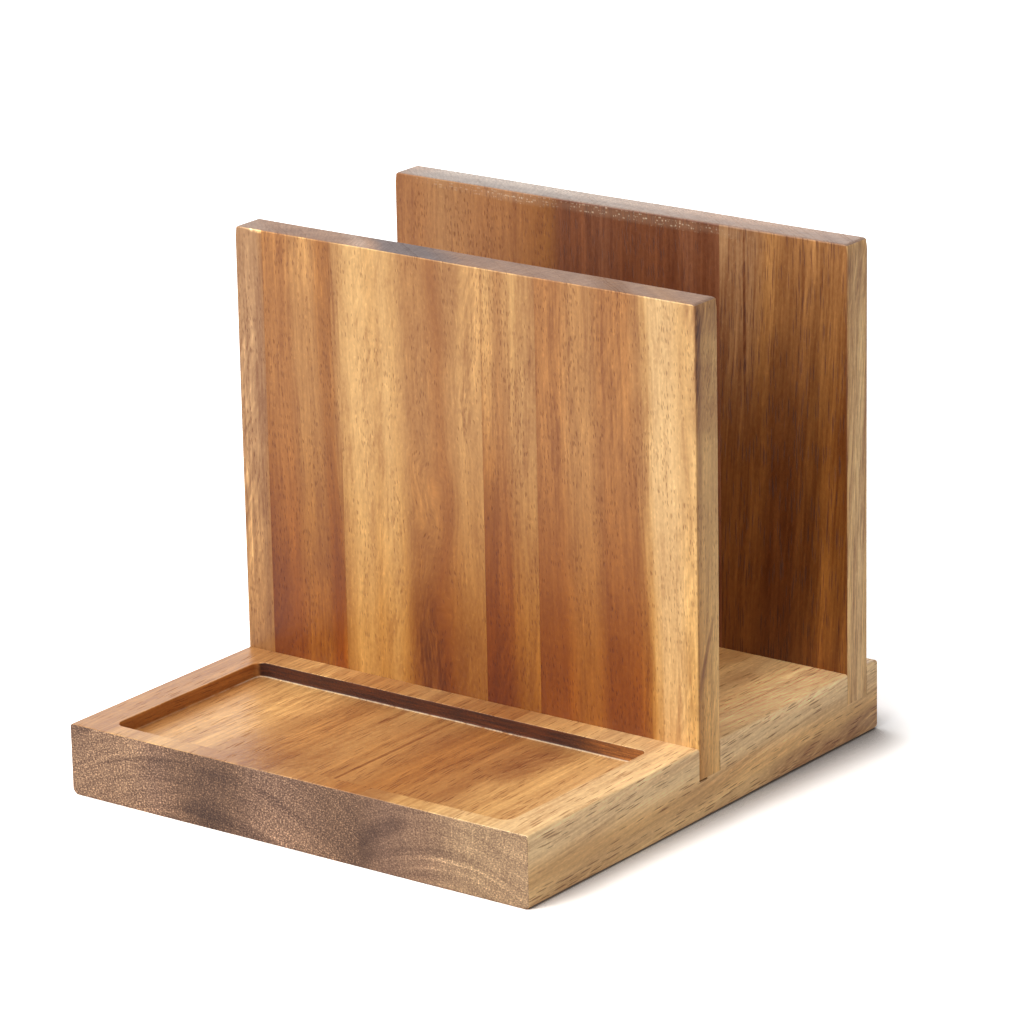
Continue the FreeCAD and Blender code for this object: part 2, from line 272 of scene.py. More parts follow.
def shell(name, rings):
    """A closed mesh object from rings of points (ring, place, xyz) in millimetres: quads join each ring to
    the next, doubles merge where a ring has shrunk to a line or point, and faces are turned outwards."""
    count, around = rings.shape[:2]
    ring, place = np.meshgrid(np.arange(count - 1), np.arange(around), indexing="ij")
    following = (place + 1) % around
    quads = np.stack([ring * around + place, ring * around + following,
                      (ring + 1) * around + following, (ring + 1) * around + place], axis=-1)
    mesh = bpy.data.meshes.new(name)
    mesh.from_pydata((rings.reshape(-1, 3) * MM).tolist(), [], quads.reshape(-1, 4).tolist())
    merged = bmesh.new()
    merged.from_mesh(mesh)
    bmesh.ops.remove_doubles(merged, verts=merged.verts, dist=MERGE_REACH * MM)
    bmesh.ops.dissolve_degenerate(merged, edges=merged.edges, dist=MERGE_REACH * MM / 10)
    bmesh.ops.recalc_face_normals(merged, faces=merged.faces)
    merged.to_mesh(mesh)
    merged.free()
    piece = bpy.data.objects.new(name, mesh)
    bpy.context.scene.collection.objects.link(piece)
    return piece


def lying(points):
    """Turns (across, deep, along) into (x, y, z) for a base stave, whose grain runs front to back."""
    return points[..., [0, 2, 1]]


def carve(piece, cutters):
    """Takes the cutters away from the piece, and removes them."""
    for cutter in cutters:
        cut = piece.modifiers.new(cutter.name, "BOOLEAN")
        cut.operation = "DIFFERENCE"
        cut.solver = "EXACT"
        cut.object = cutter
    bpy.context.view_layer.update()
    carved = bpy.data.meshes.new_from_object(piece.evaluated_get(bpy.context.evaluated_depsgraph_get()))
    carved.name = piece.name
    piece.modifiers.clear()
    piece.data = carved
    for cutter in cutters:
        bpy.data.objects.remove(cutter)


def hand_over(piece, node, slot, material):
    """Finishes a piece's shading, hangs it under the root body and hides the CAD node that it stands for."""
    piece.data.materials.clear()
    piece.data.materials.append(material)
    piece.data.polygons.foreach_set("use_smooth", [True] * len(piece.data.polygons))
    piece.data.set_sharp_from_angle(angle=math.radians(SHARP_ANGLE))
    even = piece.modifiers.new("Even shading", "WEIGHTED_NORMAL")
    even.keep_sharp = True
    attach(piece, ROOT)
    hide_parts(node)


# ---------------------------------------------------------------- shader nodes as arithmetic


class Tinge(NamedTuple):
    """How much of a shade reaches red, green and blue, where it deepens wood and where it makes it paler."""

    deeper: tuple
    paler: tuple


LONG_TINGE = Tinge((1.15, 1.725, 2.0125), (1.0, 1.2, 1.3))
GREY_TINGE = Tinge((1.15, 1.5525, 1.725), (1.0, 1.0, 1.0))
END_TINGE = Tinge((1.15, 1.3225, 1.265), (1.0, 1.06, 1.04))


class Field:
    """A number that varies over a surface: the output of a node. Arithmetic on it adds Math nodes."""

    def __init__(self, graph, socket):
        self.graph = graph
        self.socket = socket

    def apply(self, operation, *others):
        """This field and others through one Math node."""
        return self.graph.math(operation, self, *others)

    def __add__(self, other):
        return self.apply("ADD", other)

    def __radd__(self, other):
        return self.apply("ADD", other)

    def __sub__(self, other):
        return self.apply("SUBTRACT", other)

    def __rsub__(self, other):
        return self.graph.math("SUBTRACT", other, self)

    def __mul__(self, other):
        return self.apply("MULTIPLY", other)

    def __rmul__(self, other):
        return self.apply("MULTIPLY", other)

    def __truediv__(self, other):
        return self.apply("DIVIDE", other)

    def __pow__(self, other):
        return self.apply("POWER", other)

    def size(self):
        """The field without its sign."""
        return self.apply("ABSOLUTE")

    def step(self, start, end):
        """0 at start, 1 at end, an S curve between. start may be the larger one."""
        if start > end:
            return self.graph.spread(self, end, start, 1.0, 0.0, "SMOOTHSTEP")
        return self.graph.spread(self, start, end, 0.0, 1.0, "SMOOTHSTEP")


class Graph:
    """The shader nodes of a material or of the world, added and wired one call at a time."""

    def __init__(self, owner):
        owner.use_nodes = True
        self.owner = owner
        self.nodes = owner.node_tree.nodes
        self.links = owner.node_tree.links
        self.nodes.clear()

    def feed(self, socket, value):
        """Links a field or a colour into a socket, or sets the socket's own value."""
        if isinstance(value, Field):
            value = value.socket
        if isinstance(value, bpy.types.NodeSocket):
            self.links.new(value, socket)
        else:
            socket.default_value = value

    def math(self, operation, *values):
        """The result of one Math node."""
        node = self.nodes.new("ShaderNodeMath")
        node.operation = operation
        for socket, value in zip(node.inputs, values):
            self.feed(socket, value)
        return Field(self, node.outputs[0])

    def spread(self, value, low, high, bottom, top, way="LINEAR"):
        """bottom where the value is low or less, top where it is high or more, and evenly between them."""
        node = self.nodes.new("ShaderNodeMapRange")
        node.interpolation_type = way
        for name, number in (("Value", value), ("From Min", low), ("From Max", high),
                             ("To Min", bottom), ("To Max", top)):
            self.feed(node.inputs[name], number)
        return Field(self, node.outputs["Result"])

    def vector(self, x, y, z):
        """Three numbers or fields as one vector."""
        node = self.nodes.new("ShaderNodeCombineXYZ")
        for socket, value in zip(node.inputs, (x, y, z)):
            self.feed(socket, value)
        return node.outputs[0]

    def place(self):
        """The surface's own x, y and z in millimetres, and the size of its normal's x, y and z."""
        texture = self.nodes.new("ShaderNodeTexCoord")
        found = []
        for output, scale in (("Object", 1 / MM), ("Normal", 1.0)):
            split = self.nodes.new("ShaderNodeSeparateXYZ")
            self.links.new(texture.outputs[output], split.inputs[0])
            found += [Field(self, socket) * scale for socket in split.outputs]
        return found[:3], [facing.size() for facing in found[3:]]

    def noise(self, x, y, detail=2.0, roughness=0.5, seed=0.0):
        """Soft noise over two coordinates, about -1 to 1, with features one unit across."""
        node = self.nodes.new("ShaderNodeTexNoise")
        node.noise_dimensions = "2D"
        node.inputs["Scale"].default_value = 1.0
        node.inputs["Detail"].default_value = detail
        node.inputs["Roughness"].default_value = roughness
        self.links.new(self.vector(x + seed, y + seed * 1.7, 0.0), node.inputs["Vector"])
        return (Field(self, node.outputs[0]) - 0.5) * 2.0

    def cells(self, x, y):
        """Distance to the nearest of many scattered points about one unit apart, and two chance numbers."""
        node = self.nodes.new("ShaderNodeTexVoronoi")
        node.voronoi_dimensions = "2D"
        node.inputs["Scale"].default_value = 1.0
        self.links.new(self.vector(x, y, 0.0), node.inputs["Vector"])
        split = self.nodes.new("ShaderNodeSeparateXYZ")
        self.links.new(node.outputs["Color"], split.inputs[0])
        return [Field(self, socket) for socket in (node.outputs["Distance"], *split.outputs[:2])]

    def ramp(self, place, stops):
        """A colour that follows place, from 0 to 1, through (place, colour) stops."""
        node = self.nodes.new("ShaderNodeValToRGB")
        self.feed(node.inputs[0], place)
        elements = node.color_ramp.elements
        while len(elements) < len(stops):
            elements.new(0.5)
        for element, (where, colour) in zip(elements, stops):
            element.position = where
            element.color = (*colour, 1.0)
        return node.outputs[0]

    def blend(self, share, first, second):
        """first where share is 0, second where it is 1."""
        node = self.nodes.new("ShaderNodeMix")
        node.data_type = "RGBA"
        for socket, value in (("Factor_Float", share), ("A_Color", first), ("B_Color", second)):
            found = next(s for s in node.inputs if s.identifier == socket)
            self.feed(found, (*value, 1.0) if isinstance(value, tuple) else value)
        return next(s for s in node.outputs if s.identifier == "Result_Color")

    def deepen(self, colour, shade, tinge):
        """Makes wood paler for a positive shade and deeper for a negative one: red, green and blue are each
        multiplied by the exponential of the shade times their own part of the tinge. Light that goes further
        into wood loses its blue first and its red last."""
        darker = self.math("MINIMUM", shade, 0.0)
        paler = self.math("MAXIMUM", shade, 0.0)
        parts = [self.math("EXPONENT", darker * loss + paler * gain) for loss, gain in zip(*tinge)]
        node = self.nodes.new("ShaderNodeVectorMath")
        node.operation = "MULTIPLY"
        self.links.new(colour, node.inputs[0])
        self.links.new(self.vector(*parts), node.inputs[1])
        return node.outputs[0]

    def deepen_with_painted_shade(self, colour, more, spared):
        """Darkens wood with painted shade: each part of the colour to the power 1 + excess, where excess is
        more * (1 - spared * red^2), so that pale tones change less. Green is then multiplied by
        1 + 1.2 * excess * (red - 0.5) and blue by 1 + 4.5 * excess * (red - 0.68), so that dark tones lose
        more of both."""
        split = self.nodes.new("ShaderNodeSeparateXYZ")
        self.links.new(colour, split.inputs[0])
        red = Field(self, split.outputs[0])
        node = self.nodes.new("ShaderNodeGamma")
        self.links.new(colour, node.inputs["Color"])
        excess = more * (1.0 - red * red * spared)
        self.feed(node.inputs["Gamma"], excess + 1.0)
        warm = self.nodes.new("ShaderNodeVectorMath")
        warm.operation = "MULTIPLY"
        self.links.new(node.outputs[0], warm.inputs[0])
        green = excess * (red - 0.5) * 1.2 + 1.0
        blue = excess * (red - 0.68) * 4.5 + 1.0
        self.links.new(self.vector(1.0, green, blue), warm.inputs[1])
        return warm.outputs[0]

    def surface(self, colour, roughness, height, depth, **fixed):
        """The shader: colour and roughness as fields, height bumping the surface by depth, the rest fixed."""
        shader = self.nodes.new("ShaderNodeBsdfPrincipled")
        bump = self.nodes.new("ShaderNodeBump")
        bump.inputs["Strength"].default_value = 1.0
        bump.inputs["Distance"].default_value = depth
        self.feed(bump.inputs["Height"], height)
        self.feed(shader.inputs["Base Color"], colour)
        self.feed(shader.inputs["Roughness"], roughness)
        self.links.new(bump.outputs[0], shader.inputs["Normal"])
        for name, value in fixed.items():
            shader.inputs[name].default_value = value
        return self.finish(shader)

    def finish(self, shader, output="ShaderNodeOutputMaterial"):
        """Wires the last shader to the output, and gives the material or the world."""
        end = self.nodes.new(output)
        self.links.new(shader.outputs[0], end.inputs["Surface"])
        return self.owner


# ---------------------------------------------------------------- acacia


class Flame(NamedTuple):
    """A soft lighter or darker patch in the figure, in millimetres across the board and along it. Inside it
    the grain leans by so many millimetres to the right per millimetre. It goes through the whole thickness
    unless half_level keeps it near the height level, which rises by so many millimetres per millimetre.
    A grey one changes all three parts of the colour nearly alike."""

    across: float
    along: float
    half_width: float
    half_length: float
    shade: float
    lean: float = 0.0
    level: float = 0.0
    half_level: float = 0.0
    rise: float = 0.0
    grey: bool = False


class Stave(NamedTuple):
    """One glued stave: its CAD node and slot, its stripes from left to right in millimetres of the whole
    board with a tone each, and how its grain runs."""

    node: str
    slot: str
    stripes: tuple
    ends: tuple                   # tones of the end grain, placed as the stripes are
    sides: tuple = ()             # tones of its outer narrow face, from its lowest or front edge
    high: tuple = ()              # the stripes that the first ones turn into towards the high end, if they do
    seed: float = 0.0             # sets its noise apart from the other staves'
    lean: float = 0.0             # millimetres that the stripes move to the right per millimetre of grain
    tilt: float = 0.0             # and per millimetre below the upper or rear face
    climb: float = 0.0            # slope of the grain on the narrow faces
    figure: float = 0.45          # strength of the long streaks
    ripple: float = 0.05          # strength of the slanting interlocked grain
    foot: float = 0.0             # how much darker the tones grow towards the low end of the grain: painted shade at a panel's foot
    spared: float = 0.3           # how far the pale tones are spared from that
    worn: float = 0.0             # how much paler the arrises at the ends of the grain are: a painted highlight
    pores: float = 0.5            # share of the vessels that show as dark dashes
    vessel: tuple = (0.7, 3.4)    # spacing of the vessels across and along the grain
    open: float = 0.3             # how dark the vessels look
    open_sides: float = 0.3       # and how dark on the narrow faces
    flames: tuple = ()            # patches of its long grain
    dusty: tuple = ()             # flames inside which pale dust fills some pores
    cove: tuple = ()              # heights between which dust and a painted highlight lie in the tray's cove
    heart: tuple = (90.0, 100.0)  # end grain: where the rings' centre lies across and below the upper face
    ring: float = 4.0             # how far apart the rings are
    rings: float = 0.2            # how strongly they show
    speckle: float = 0.2          # how strongly the cut vessels show
    swing: float = 0.0            # how far the end grain's tones lean from front to rear
    stains: tuple = ()            # flames of the end grain, whose along is the depth in the board
    ringed: bool = False          # or is the distance from the heart
    routed: tuple = ()            # stretch of the grain whose cut faces a hot router bit has browned, with painted shade on the tray's walls
    dry: float = 0.28             # how much rougher the cut faces are than the lacquered ones


class Grain(NamedTuple):
    """Which axes a board's grain uses, where its own zero lies, and its thickness and length."""

    across: int
    deep: int
    along: int
    origin: tuple
    thick: float
    length: float


class Spot(NamedTuple):
    """A point of a board's surface, as fields: its place across, deep and along the grain in millimetres, and
    how squarely the surface faces each of these ways. seed is where the stave's own noise starts."""

    graph: Graph
    across: Field
    deep: Field
    along: Field
    faces_across: Field
    faces_deep: Field
    faces_along: Field
    seed: float

    def noise(self, x, y, step, detail=2, roughness=0.5):
        """The stave's own soft noise. Another step gives another pattern."""
        return self.graph.noise(x, y, detail, roughness, self.seed + step)


STRAY = 1.92             # millimetres that a stripe strays in long bends
FLUTTER = 0.84           # and in short ones
SEED_STEP = 31.0         # units between the noise of two staves whose seeds are one apart
TRAY_ALONG = (3.0, 86.0)     # stretch of the base that holds the tray and half its rim, from front to back
TRAY_ACROSS = (6.0, 172.0)   # and from left to right


def toned(graph, where, stops, finish):
    """Colours that follow where through (millimetres, tone name) stops, evenly blended."""
    low, high = stops[0][0], stops[-1][0]
    placed = [((stop - low) / (high - low), getattr(finish, tone)[:]) for stop, tone in stops]
    return graph.ramp((where - low) / (high - low), placed)


def within(field, low, high, fade=3.0):
    """1 between low and high, 0 outside, with an S curve over fade just inside each of them."""
    return field.step(low, low + fade) * field.step(high, high - fade)


def flame_patch(flame, across, along, deep):
    """1 in the middle of a flame, 0 outside it: a smooth step over the squared distances in its own sizes."""
    side = (across - flame.across - (along - flame.along) * flame.lean) / flame.half_width
    run = (along - flame.along) / flame.half_length
    spread = side * side + run * run
    if flame.half_level:
        level = (deep - flame.level - (along - flame.along) * flame.rise) / flame.half_level
        spread = spread + level * level
    return spread.step(1.6, 0.0)


def flame_shade(flames, across, along, deep=0.0):
    """The flames' own shades at a point, added up."""
    return sum((flame_patch(flame, across, along, deep) * flame.shade for flame in flames), 0.0)


def grain_line(spot, stave):
    """Where across the board a fibre starts: the board's lean, two sizes of soft straying and each leaning
    flame's own lean are taken off its place."""
    across, along = spot.across, spot.along
    stray = spot.noise(across / 40, along / 120, 0, detail=1) * STRAY
    flutter = spot.noise(across / 6, along / 50, 3) * FLUTTER
    line = across - along * stave.lean + stray + flutter
    for flame in stave.flames:
        if flame.lean:
            line = line - flame_patch(flame, across, along, spot.deep) * (along - flame.along) * flame.lean
    return line


def vessels(spot, stave, thread, drift):
    """1 in the dark dashes where vessels are cut open: the middles of cells drawn out along the grain, of
    which chance and the drift keep some."""
    wide, long = stave.vessel
    gap, size, chance = spot.graph.cells((thread + spot.along * 0.05) / wide, spot.along / long)
    kept = (chance + drift * 1.3).step(1.0 - stave.pores, 1.35 - stave.pores)
    return (gap / (size * 0.6 + 0.55)).step(0.32, 0.14) * kept


def dusted(spot, stave, finish, wood, figure):
    """Wood with sanding dust in each dusty flame: some scattered pores are filled, over a faint haze."""
    g = spot.graph
    gap, size, chance = g.cells(spot.across / 1.1 + figure * 4.0, spot.along)
    filled = (gap / (size * 0.8 + 0.35)).step(0.4, 0.12) * chance.step(0.35, 0.7)
    for flame in stave.dusty:
        dust = (filled + 0.15) * flame_patch(flame, spot.across, spot.along, spot.deep) * flame.shade
        wood = g.blend(dust, wood, finish.chalk[:])
    return wood


def long_grain(spot, stave, grain, finish):
    """Wood that runs with its grain: drifting stripes of tone, long streaks, fine fibre, hairs and flecks,
    soft flames, painted highlights on the arrises and dark vessel dashes. Gives its colour, vessels and grit."""
    g, across, deep, along = spot.graph, spot.across, spot.deep, spot.along
    sideways = spot.faces_across.step(0.5, 0.8)
    line = grain_line(spot, stave)
    thread = line + deep * 1.3 - along * sideways * stave.climb
    figure = spot.noise(thread / 6.5, along / 130, 7, detail=3, roughness=0.9)
    frayed = line + figure * 2.0 + (deep - grain.thick) * stave.tilt
    wood = toned(g, frayed, stave.stripes, finish)
    if stave.high:
        risen = along.step(grain.length * 0.45, grain.length * 1.05)
        wood = g.blend(risen, wood, toned(g, frayed, stave.high, finish))
    if stave.sides:
        wood = g.blend(sideways, wood, toned(g, deep + figure * 2.0, stave.sides, finish))
    # Painted shade: the tones grow darker towards the low end of the grain, where a panel stands in the base.
    if stave.foot:
        wood = g.deepen_with_painted_shade(wood, along.step(grain.length * 0.7, grain.length * 0.03) * stave.foot, stave.spared)

    dash = stave.vessel[1]
    grit = spot.noise(thread / 0.9, along / 1.9, 11, detail=1)
    mottle = spot.noise(thread / 8, along / 14, 13, detail=3, roughness=0.6)
    ripple = spot.noise((thread - along * 0.3) / 1.8, along / 12, 17, roughness=0.6)
    drift = spot.noise(thread / 6, along / (dash * 8), 19)
    strand = spot.noise(thread / 0.85, along / (dash * 3), 21, detail=1)
    hair = spot.noise(thread / 0.65, along / 26, 23, detail=0).step(0.2, 0.5) * drift.step(-0.1, 0.35)
    fleck = spot.noise(thread / 0.75, along / 1.8, 29, detail=0).step(0.4, 0.65)
    arris_highlight = spot.faces_deep.step(0.15, 0.5) * spot.faces_along.step(0.15, 0.5)
    shade = figure * stave.figure + grit * 0.12 + mottle * 0.12 + ripple * stave.ripple
    shade = shade + hair * 0.11 + fleck * 0.1 + strand * (stave.pores * 0.22)
    warm = flame_shade([flame for flame in stave.flames if not flame.grey], across, along, deep)
    shade = shade + warm * (ripple * 1.5 + figure * 2.0 + strand * 0.8 + 1.0)
    # Painted highlight along the arrises at the ends of the grain.
    shade = shade + arris_highlight * stave.worn * (figure * 2.5 + 1.0)
    wood = g.deepen(wood, shade, LONG_TINGE)

    vessel = vessels(spot, stave, thread, drift)
    dull = vessel * -1.2 * (sideways * (stave.open_sides - stave.open) + stave.open)
    grey = flame_shade([flame for flame in stave.flames if flame.grey], across, along, deep)
    dull = dull + grey * (ripple * 1.5 + strand * 0.6 + 1.0)
    wood = g.deepen(wood, dull, GREY_TINGE)
    return dusted(spot, stave, finish, wood, figure), vessel, grit


def end_grain(spot, stave, grain, finish):
    """Wood cut across its grain: growth rings round the heart, rays out of it, blotches, speckled vessels and
    stains, and the brown of a hot router bit where the stave is routed, with painted shade on those walls.
    Gives its colour and speckle."""
    g, across, deep, along = spot.graph, spot.across, spot.deep, spot.along
    centre, below = stave.heart
    depth = deep + (below - grain.thick)
    wobble = spot.noise(across / 26, deep / 12, 31)
    ring = ((across - centre) ** 2 + depth ** 2) ** 0.5 + wobble * 1.2
    growth = spot.noise(ring / stave.ring, across / 60, 37, detail=4, roughness=0.9)
    blotch = spot.noise(across / 10 + along / 9, ring / 5, 41)
    rays = spot.noise((across - centre) / depth * below / 1.1, ring / 7, 45, detail=1)
    scorch = spot.noise(across / 16, deep / 0.9, 47, detail=3, roughness=0.7)
    speckle = spot.noise(across / 0.65 + along, deep / 0.5 + along, 43, detail=1, roughness=0.7)
    shade = growth * stave.rings + blotch * 0.2 + rays * 0.25 + scorch * 0.12
    shade = shade + (speckle * 0.95 + speckle.step(0.15, 0.45) * 0.25 - 0.05) * stave.speckle
    wood = toned(g, across + deep * stave.swing + wobble * 3.0, stave.ends, finish)
    # Router browning, with painted shade on the tray's walls, deepest towards the left.
    if stave.routed:
        browned = within(along, *stave.routed)
        burn_and_shade = scorch * 1.3 - across.step(70.0, 10.0) * 0.25
        shade = shade * (1.0 - browned * 0.7) + browned * burn_and_shade
        wood = g.blend(browned, wood, g.blend(across.step(128.0, 170.0), finish.char[:], finish.chestnut[:]))
    level = ring if stave.ringed else deep
    pale = flame_shade([stain for stain in stave.stains if stain.shade > 0], across, level)
    dark = flame_shade([stain for stain in stave.stains if stain.shade < 0], across, level)
    return g.deepen(wood, shade + pale * (speckle + 1.0) + dark, END_TINGE), speckle


def cove_dust_and_highlight(spot, stave):
    """How strongly sanding dust and a painted highlight lie on the step between the tray's walls and its
    floor: broken up, and stronger towards the back."""
    floor, top = stave.cove
    step = spot.deep.step(floor, floor + 0.08) * spot.deep.step(top, top - 0.15)
    inside = within(spot.along, *TRAY_ALONG) * within(spot.across, *TRAY_ACROSS)
    broken = spot.noise(spot.across / 5, spot.along / 5, 53, roughness=0.7).step(-0.6, 0.2)
    return step * inside * broken * (spot.along.step(40.0, 78.0) * 0.4 + 0.15)


def acacia(stave, grain, finish):
    """Lacquered acacia: long grain, end grain on the faces that cut it, dust and a painted highlight in the
    tray's cove, and a relief of vessels, grit and speckle. The lacquer is rougher on cut faces."""
    g = Graph(bpy.data.materials.new(stave.node + "_acacia"))
    place, facing = g.place()
    local = [axis - start for axis, start in zip(place, grain.origin)]
    ways = (grain.across, grain.deep, grain.along)
    spot = Spot(g, *(local[way] for way in ways), *(facing[way] for way in ways), stave.seed * SEED_STEP)
    wood, vessel, grit = long_grain(spot, stave, grain, finish)
    end_wood, speckle = end_grain(spot, stave, grain, finish)
    cut = spot.faces_along.step(0.5, 0.8)
    colour = g.blend(cut, wood, end_wood)
    # Pale dust and a painted highlight along the tray's cove.
    if stave.cove:
        colour = g.blend(cove_dust_and_highlight(spot, stave), colour, finish.chalk[:])
    roughness = vessel * 0.2 + grit * 0.05 + cut * stave.dry + finish.lacquer
    height = vessel * -1.0 + grit * 0.4 + speckle * cut * 0.8
    return g.surface(colour, roughness, height, finish.pore_depth, IOR=1.5)


BEYOND_RIGHT = 180      # millimetres across, just past the boards' right edge
EDGE_REACH = 2.6        # millimetres that a flame there is wide to either side


def side_flame(along, half_length, shade, level=0.0, half_level=0.0, rise=0.0, grey=True):
    """A flame beyond a board's right edge, which only shows on its right narrow face."""
    return Flame(BEYOND_RIGHT, along, EDGE_REACH, half_length, shade, 0.0, level, half_level, rise, grey)


def deep_flame(across, along, half_width, half_length, shade, lean, level, half_level, grey=False):
    """A flame that lies near one height only."""
    return Flame(across, along, half_width, half_length, shade, lean, level, half_level, 0.0, grey)


PANEL_AXES = (0, 1, 2)      # which of x, y and z run across, deep in and along the boards
BASE_AXES = (0, 2, 1)
FRONT_ENDS = ((0, "mist"), (10, "mist"), (18, "heather"), (44, "heather"), (52, "mist"), (56, "heather"),
              (62, "slate"), (80, "slate"), (92, "heather"), (140, "heather"), (148, "dusk"), (154, "dusk"),
              (160, "heather"), (170, "drift"), (178, "heather"))
REAR_ENDS = ((0, "heather"), (14, "fawn"), (60, "fawn"), (130, "heather"), (178, "heather"))
FRONT_STAINS = (Flame(24, 9, 26, 5, 0.16), Flame(50, 2, 8, 5, 0.28), Flame(80, 8, 18, 6, -0.18),
                Flame(136, 9, 8, 4, 0.1))
# Painted highlight on the rear panel's top end grain, strongest over its back half.
REAR_TOP_HIGHLIGHT = (Flame(80, 9, 110, 4.5, 0.46), Flame(80, 2, 110, 4, 0.06))

FRONT_STAVES = (
    Stave("front_panel_stave_1", "acacia_brown",
          ((0, "ash"), (3.5, "ash"), (8.5, "ash"), (11, "caramel")), FRONT_ENDS, swing=1.2,
          stains=FRONT_STAINS, seed=1.0, foot=0.2, figure=0.6, worn=0.4,
          # The last flame is a painted glint on the panel's top front arris.
          flames=(Flame(0.5, 60, 3, 80, 0.3), Flame(5, 80, 4, 60, 0.24), Flame(10, 151.4, 5, 1.0, 0.8))),
    Stave("front_panel_stave_2", "acacia_russet",
          ((11, "chestnut"), (15, "russet"), (22, "russet"), (26, "caramel"), (33, "caramel"),
           (37, "chestnut"), (40.5, "chestnut"), (43, "tan"), (46, "tan")), FRONT_ENDS, swing=1.2,
          stains=FRONT_STAINS, seed=2.0, foot=0.5, pores=0.55, figure=0.42, worn=0.25, lean=-0.02,
          flames=(Flame(12, 20, 7, 45, -0.2), Flame(31, 16, 12, 24, 0.1), Flame(20, 148, 12, 16, 0.12),
                  Flame(35, 148, 4, 18, 0.14))),
    Stave("front_panel_stave_3", "acacia_golden",
          ((41.2, "tan"), (44, "amber"), (48, "honey"), (53, "honey"), (57, "amber"), (62, "honey"),
           (65, "amber"), (68, "tan"), (71, "caramel"), (76, "caramel"), (82, "russet"), (86, "caramel"),
           (90, "tan"), (97.1, "tan")), FRONT_ENDS, swing=1.2,
          stains=FRONT_STAINS, seed=3.0, lean=-0.02, ripple=0.14, foot=0.45, pores=0.35, figure=0.32,
          worn=0.25,
          flames=(Flame(76, 14, 8, 30, -0.46, -0.12), Flame(92.5, 128, 5, 34, 0.14, 0.05),
                  Flame(74, 72, 6, 14, 0.14, -0.25), Flame(82, 138, 8, 20, -0.12, -0.1),
                  Flame(80, 58, 6, 26, -0.08, 0.15), Flame(91, 18, 7, 26, -0.22),
                  Flame(43, 132, 4, 34, -0.08),
                  Flame(50, 118, 6, 60, 0.05), Flame(60, 50, 6, 30, 0.06), Flame(87, 149, 4, 12, -0.1),
                  Flame(42, 20, 3, 40, -0.1))),
    Stave("front_panel_stave_4", "acacia_brown",
          ((97.1, "chestnut"), (101, "chestnut"), (103.5, "russet"), (107, "russet"), (109.5, "caramel"),
           (113, "tan"), (118, "tan")), FRONT_ENDS, swing=1.2,
          high=((97.1, "tan"), (99, "amber"), (102, "tan"), (104, "caramel"), (107, "tan"), (110, "amber"),
                (114, "tan"), (118, "caramel")),
          stains=FRONT_STAINS, seed=4.0, foot=0.62, pores=0.65, figure=0.5, worn=0.25,
          flames=(Flame(100, 110, 5, 30, 0.1), Flame(104, 14, 5, 26, -0.24), Flame(112, 10, 6, 20, -0.14))),
    Stave("front_panel_stave_5", "acacia_golden",
          ((114, "russet"), (130, "russet"), (135, "caramel"), (142, "caramel"), (146.5, "russet"),
           (149, "russet"), (157, "russet"), (160.5, "caramel"), (163, "amber"), (166, "straw"),
           (172, "straw"), (177, "honey"), (183, "honey")), FRONT_ENDS, swing=1.2,
          stains=FRONT_STAINS, sides=((0, "tan"), (4, "amber"), (11.3, "honey")), seed=5.0, foot=0.62,
          spared=1.35, pores=0.5, figure=0.42, lean=-0.028, worn=0.25, open_sides=0.36, climb=0.06,
          flames=(side_flame(138, 30, -0.95, 0.4, 2.7), Flame(125, 128, 12, 50, 0.1),
                  Flame(147, 128, 7, 50, 0.12), Flame(122, 35, 8, 30, -0.1), Flame(174, 30, 5, 62, 0.14),
                  Flame(177, 152, 4, 12, -0.26, grey=True), side_flame(146, 26, -0.2),
                  side_flame(41, 15, -0.75, 4.7, 1.3, 0.36),
                  side_flame(34, 14, -0.5, 3.0, 1.6, 0.3),
                  Flame(147.5, 20, 4, 34, -0.12), Flame(180, 122, 5, 13, -0.22),
                  side_flame(14, 22, 0.2, 7.0, 8.0))),
)

REAR_STAVES = (
    Stave("rear_panel_stave_1", "acacia_brown",
          ((0, "russet"), (10, "russet"), (20, "caramel"), (36, "russet"), (48, "russet"), (58, "chestnut"),
           (63, "umber"), (67, "sable")), REAR_ENDS, stains=REAR_TOP_HIGHLIGHT, seed=6.0, dry=0.04, figure=0.36,
          dusty=(Flame(52, 149.6, 17, 1.8, 0.75), Flame(34, 150.8, 26, 2.6, 0.3))),
    Stave("rear_panel_stave_2", "acacia_russet",
          ((67, "sable"), (76, "sable"), (84, "mahogany"), (92, "sable"), (112, "sable"), (118, "mahogany"),
           (124, "sable"), (129.5, "mahogany")), REAR_ENDS,
          stains=REAR_TOP_HIGHLIGHT, seed=7.0, figure=0.66, pores=0.65, dry=0.04, vessel=(0.7, 8.0),
          dusty=(Flame(98, 149.6, 36, 1.9, 0.75),)),
    Stave("rear_panel_stave_3", "acacia_brown",
          ((118, "walnut"), (134, "walnut"), (141, "walnut"), (146, "bark"), (153, "bark"), (160, "walnut"),
           (168, "umber"), (178, "umber")), REAR_ENDS,
          # Towards the top its stripes grow paler and greyer, and the pale flame near the top lightens it
          # more: wood tone, and partly painted light and sheen.
          high=((118, "ash"), (133, "ash"), (139, "caramel"), (146, "bronze"), (160, "bronze"),
                (168, "bronze"), (178, "caramel")),
          sides=((0, "honey"), (7, "straw"), (11.3, "honey")), stains=REAR_TOP_HIGHLIGHT,
          seed=8.0, figure=0.9, lean=0.06, pores=0.85, dry=0.04, vessel=(0.8, 14.0), open=0.45,
          flames=(side_flame(150, 26, -0.42), side_flame(142, 26, -0.16, grey=False),
                  Flame(170, 150, 9, 12, 0.1),
                  Flame(150, 88, 10, 30, -0.16), Flame(148, 22, 18, 30, -0.14),
                  Flame(139, 124, 0.6, 30, -0.6)),
          dusty=(Flame(133, 149, 5, 1.5, 0.4),)),
)

